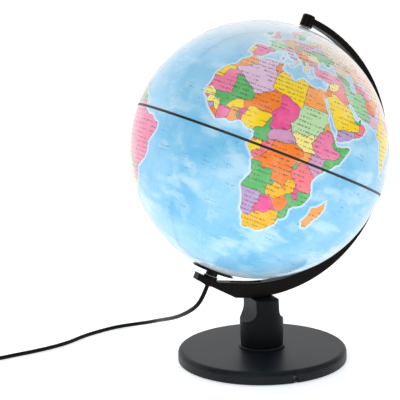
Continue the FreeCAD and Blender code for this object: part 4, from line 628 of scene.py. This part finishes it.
def outline_points(corners):
    """Walks round an outline in short steps."""
    points = []
    for (lon, lat), (next_lon, next_lat) in zip(corners, corners[1:] + corners[:1]):
        length = math.hypot((next_lon - lon) * math.cos(math.radians(lat)), next_lat - lat)
        steps = max(1, round(length / coast_step))
        points += [roughened(lon + (next_lon - lon) * i / steps, lat + (next_lat - lat) * i / steps) for i in range(steps)]
    return points


def read_lands():
    """Gives each land's name, ink and outline."""
    entries = lands.replace("\n ", " ").strip().split("\n")
    for entry in entries:
        title, outline = entry.split(":")
        name, ink = title.split()
        yield name, ink, outline_points([tuple(map(float, pair.split())) for pair in outline.split(",")])


def flat_outline(bm, points):
    """One flat face on the unrolled map, facing up."""
    face = bm.faces.new([bm.verts.new((longitude, latitude, 0)) for longitude, latitude in points])
    face.normal_update()
    if face.normal.z < 0:
        face.normal_flip()
    return face


def cut_to_patches(bm, step):
    """Cuts the unrolled map into triangles and then along a grid, so that it can be wrapped round the ball."""
    bmesh.ops.triangulate(bm, faces=bm.faces[:])
    for normal, places in (((1, 0, 0), range(-180, 200, step)), ((0, 1, 0), range(-90, 90, step))):
        for place in places:
            everything = bm.verts[:] + bm.edges[:] + bm.faces[:]
            bmesh.ops.bisect_plane(bm, geom=everything, plane_co=Vector(normal) * place, plane_no=normal)


to_ball = (Matrix.Translation(ball_centre) @ Matrix.Rotation(axis_tilt, 4, "Y")
           @ Matrix.Rotation(-map_turn, 4, "Z"))


def wrapped(bm, name, heights, materials, body, north):
    """Wraps one hemisphere of the unrolled map round the ball as a piece of its own."""
    half = bm.copy()
    other = [face for face in half.faces if (face.calc_center_median().y > 0) != north]
    bmesh.ops.delete(half, geom=other, context="FACES")
    height = half.verts.layers.float.get(heights) if heights else None
    for vert in half.verts:
        lift = print_step * (1 + vert[height]) if heights else 3 * print_step
        vert.co = to_ball @ (on_unit_ball(vert.co.x, vert.co.y) * (ball_radius + lift))
    bmesh.ops.triangulate(half, faces=half.faces[:])
    half.normal_update()
    folded = [face for face in half.faces if face.normal.dot(face.calc_center_median() - ball_centre) <= 0]
    bmesh.ops.delete(half, geom=folded, context="FACES")
    for face in half.faces:
        face.smooth = True
    mesh = bpy.data.meshes.new(name)
    half.to_mesh(mesh)
    half.free()
    mesh.normals_split_custom_set_from_vertices([(vert.co - ball_centre).normalized() for vert in mesh.vertices])
    for material in materials:
        mesh.materials.append(material)
    piece = bpy.data.objects.new(name, mesh)
    bpy.context.collection.objects.link(piece)
    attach(piece, body)
    return piece


ink_names = list(inks)
land_materials = [printed_ink("ink_" + name, printed_colour(*inks[name])) for name in ink_names]
land_materials.append(printed_ink("ink_border", printed_colour(120, 105, 110)))
land = bmesh.new()
shores = bmesh.new()
shore_layer = shores.verts.layers.float.new("shore")
for name, ink, points in read_lands():
    face = flat_outline(land, points)
    face.material_index = ink_names.index(ink)
    rim = bmesh.ops.inset_individual(land, faces=[face], thickness=border_width, use_even_offset=False)
    for border in rim["faces"]:
        border.material_index = len(ink_names)
    coast = flat_outline(shores, points)
    corners = [(loop.link_loop_prev.vert.co, loop.vert, loop.link_loop_next.vert.co) for loop in coast.loops]
    for before, vert, after in corners:
        vert[shore_layer] = 1
    ends = []
    for before, vert, after in corners:
        shrink = max(0.15, math.cos(math.radians(vert.co.y)))
        run = Vector(((after.x - before.x) * shrink, after.y - before.y)).normalized()
        ends.append((vert.co.copy(), Vector((run.y * shore_width / shrink, -run.x * shore_width, 0))))
    grown = bmesh.ops.extrude_edge_only(shores, edges=coast.edges[:])
    outer = {tuple(v.co): v for v in grown["geom"] if isinstance(v, bmesh.types.BMVert)}
    for place, shift in ends:
        vert = outer[tuple(place)]
        vert.co = place + shift
        vert.co.y = max(-89, min(89, vert.co.y))
        vert[shore_layer] = 0
    bmesh.ops.delete(shores, geom=[coast], context="FACES_ONLY")
cut_to_patches(land, patch_size)
cut_to_patches(shores, 15)
shore_material = printed_sea("printed_shore", shore=True)
for half_name, north in (("north", True), ("south", False)):
    wrapped(land, half_name + "_land_print", None, land_materials, "globe", north)
    wrapped(shores, half_name + "_shore_print", "shore", [shore_material], "globe", north)

# ---- cord ----
# One round sheathed lead leaves the arm's tail under the ball, falls behind the base and runs off to the left.
# It passes through the switch, and what is spare lies wound and tied beside the plug.

cord_diameter = 0.0041
lead_route = [
    (-56.0, 0, 81.9), (-61.0, 0.5, 69.5),
    (-65.8, 8, 58.5), (-70.0, 26, 48.0), (-73.5, 52, 37.0), (-74.5, 88, 25.5),
    (-72, 121, 15.5), (-77.5, 143, 8), (-90, 157.5, 3.4), (-110, 160, 2.1),
    (-133, 150.5, 2.1), (-153, 139.5, 2.1), (-170, 125, 2.1),
    (-188, 115.5, 2.1), (-211, 107.5, 2.1), (-233, 102.8, 2.1),
    (-252, 97.5, 2.1), (-266, 93.8, 3.6), (-278, 92, 7), (-292, 92, 7),
    (-336, 92, 7), (-350, 92, 7), (-362, 92.3, 3.6), (-376, 92.1, 2.1), (-390, 91.0, 2.1),
]
plug_route = [
    (-420, 60, 10.3), (-420.5, 45, 9.6), (-419, 30, 6.6), (-411.5, 16, 4.4), (-402, 9.4, 5.4), (-393, 8, 6.85),
]
coil_low, coil_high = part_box("cord_coil")
coil_centre = (coil_low + coil_high) / 2 * 1000
coil_turns = ((26.5, 2.1), (22.4, 2.1), (18.3, 2.1), (18.3, 6.3), (22.4, 6.3), (26.5, 6.3), (26.5, 10.4), (22.5, 10.4))
steps_per_turn = 24
coil_start = math.radians(72.6)
coil_end = math.radians(193.8 - 12)


def coil_points():
    """The turns lie side by side in three layers, and each steps over to the next in its last quarter."""
    points = []
    total = len(coil_turns) * steps_per_turn
    last = round((len(coil_turns) - 1 + (coil_end - coil_start) / (2 * math.pi)) * steps_per_turn)
    for index in range(1, min(last, total) + 1):
        turn, along = divmod(index / steps_per_turn, 1)
        here = coil_turns[int(turn)]
        following = coil_turns[min(int(turn) + 1, len(coil_turns) - 1)]
        shift = max(0, (along - 0.75) / 0.25)
        shift = shift * shift * (3 - 2 * shift)
        radius = here[0] + (following[0] - here[0]) * shift
        height = here[1] + (following[1] - here[1]) * shift
        angle = coil_start + 2 * math.pi * index / steps_per_turn
        points.append((coil_centre.x + radius * math.cos(angle), coil_centre.y + radius * math.sin(angle), height))
    return points


def cord_piece(name, route, radius, material):
    """A smooth round cord through its route, which is in millimetres."""
    curve = bpy.data.curves.new(name, "CURVE")
    curve.dimensions = "3D"
    spline = curve.splines.new("NURBS")
    spline.points.add(len(route) - 1)
    for point, place in zip(spline.points, route):
        point.co = (*(Vector(place) / 1000), 1)
    spline.order_u = 3
    spline.use_endpoint_u = True
    spline.resolution_u = 6
    curve.bevel_depth = radius
    curve.bevel_resolution = 5
    curve.use_fill_caps = True
    curve.materials.append(material)
    piece = bpy.data.objects.new(name, curve)
    bpy.context.collection.objects.link(piece)
    return piece


cord_black = grained("cord_black", (0.0048, 0.0046, 0.0042), 0.42, 1600, 0.00003, specular=0.14)
finish_nodes(cord_black, "inner_lead", "cord_gland", "power_cord", "switch_cord", "cord_coil", "plug_cord")
whole_route = lead_route + coil_points() + plug_route
lead = cord_piece("power_lead", whole_route, cord_diameter / 2, cord_black)
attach(lead, "stand")
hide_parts("power_cord", "switch_cord", "cord_coil", "plug_cord")
Vector(lead_route[0]) / 1000

# ---- switch and plug ----
# The switch is a flat case in two halves with a glossy rocker, and the plug is one soft black moulding on two
# plated pins. A strap holds the spare turns.

finish_nodes(grained("switch_black", (0.022, 0.022, 0.024), 0.40, 1700, 0.00005), "switch_lower_case", "switch_upper_case")
finish_nodes(grained("rocker_black", (0.020, 0.020, 0.021), 0.22, 1200, 0.00002, coat=0.2), "switch_rocker")
finish_nodes(grained("plug_black", (0.022, 0.022, 0.022), 0.45, 1500, 0.00005), "plug_body", "plug_relief")
finish_nodes(grained("pin_plate", (0.72, 0.70, 0.66), 0.20, 600, 0.00002, metal=1.0), "plug_pins")
finish_nodes(grained("tie_black", (0.018, 0.018, 0.018), 0.50, 1500, 0.00004), "coil_tie")

# ---- table, light and camera ----
# A white table runs up into a white wall, under broad soft lamps.


def studio_floor():
    """A smooth white sweep, extruded up into a wall far behind. It glows a little, except under the foot, where the
    missing glow is a painted shadow.
    """
    bm = bmesh.new()
    bmesh.ops.create_grid(bm, x_segments=1, y_segments=1, size=12)
    bmesh.ops.translate(bm, verts=bm.verts[:], vec=(0, -8, 0))
    back = [edge for edge in bm.edges if all(vert.co.y > 3.9 for vert in edge.verts)]
    wall = bmesh.ops.extrude_edge_only(bm, edges=back)
    bmesh.ops.translate(bm, verts=[v for v in wall["geom"] if isinstance(v, bmesh.types.BMVert)], vec=(0, 0, 5))
    bmesh.ops.bevel(bm, geom=back, offset=1.5, segments=16, profile=0.5, affect="EDGES", material=-1)
    mesh = bpy.data.meshes.new("studio_floor")
    bm.to_mesh(mesh)
    bm.free()
    mesh.shade_smooth()
    material, tree_nodes, links, shader = new_material("studio_white")
    shader.inputs["Base Color"].default_value = (0.92, 0.92, 0.92, 1)
    shader.inputs["Roughness"].default_value = 0.6
    shader.inputs["Specular IOR Level"].default_value = 0.2
    shader.inputs["Emission Color"].default_value = (1, 1, 1, 1)
    where = tree_nodes.new("ShaderNodeTexCoord")
    distance = tree_nodes.new("ShaderNodeVectorMath")
    distance.operation = "LENGTH"
    links.new(where.outputs["Object"], distance.inputs[0])
    # The glow fades out under the foot: a painted shadow there.
    glow_cut_for_foot_shadow = fade(tree_nodes, links, distance.outputs["Value"], 0.080, 0.084, 0.60)
    links.new(glow_cut_for_foot_shadow, shader.inputs["Emission Strength"])
    mesh.materials.append(material)
    floor = bpy.data.objects.new("studio_floor", mesh)
    bpy.context.collection.objects.link(floor)


def soft_lamp(name, place, target, size, power):
    """A square soft box that faces its target."""
    data = bpy.data.lights.new(name, "AREA")
    data.shape = "SQUARE"
    data.size = size
    data.energy = power
    lamp = bpy.data.objects.new(name, data)
    bpy.context.collection.objects.link(lamp)
    lamp.location = place
    lamp.rotation_euler = (Vector(target) - Vector(place)).to_track_quat("-Z", "Y").to_euler()


studio_floor()
soft_lamp("front_lamp", (-1.3, -1.5, 1.5), (0, 0, 0.15), 1.2, 7)
soft_lamp("side_lamp", (1.5, -0.6, 1.2), (0, 0, 0.15), 1.0, 3)
soft_lamp("top_lamp", (0, 0.4, 2.0), (0, 0, 0.1), 1.5, 5)

world = bpy.data.worlds.new("studio")
bpy.context.scene.world = world
world.use_nodes = True
world.node_tree.nodes["Background"].inputs["Color"].default_value = (1, 1, 1, 1)
world.node_tree.nodes["Background"].inputs["Strength"].default_value = 0.24
bpy.context.scene.view_settings.view_transform = "Standard"

camera_data = bpy.data.cameras.new("camera")
camera_data.sensor_width = 36
camera_data.lens = 94.95
camera = bpy.data.objects.new("camera", camera_data)
bpy.context.collection.objects.link(camera)
camera_place = Vector((-0.3801, -0.9508, 0.3358))
camera.matrix_world = (Matrix.Translation(camera_place) @ Matrix.Rotation(math.radians(-18.52), 4, "Z")
                       @ Matrix.Rotation(math.radians(90 - 9.60), 4, "X") @ Matrix.Rotation(math.radians(-1.52), 4, "Z"))
bpy.context.scene.camera = camera
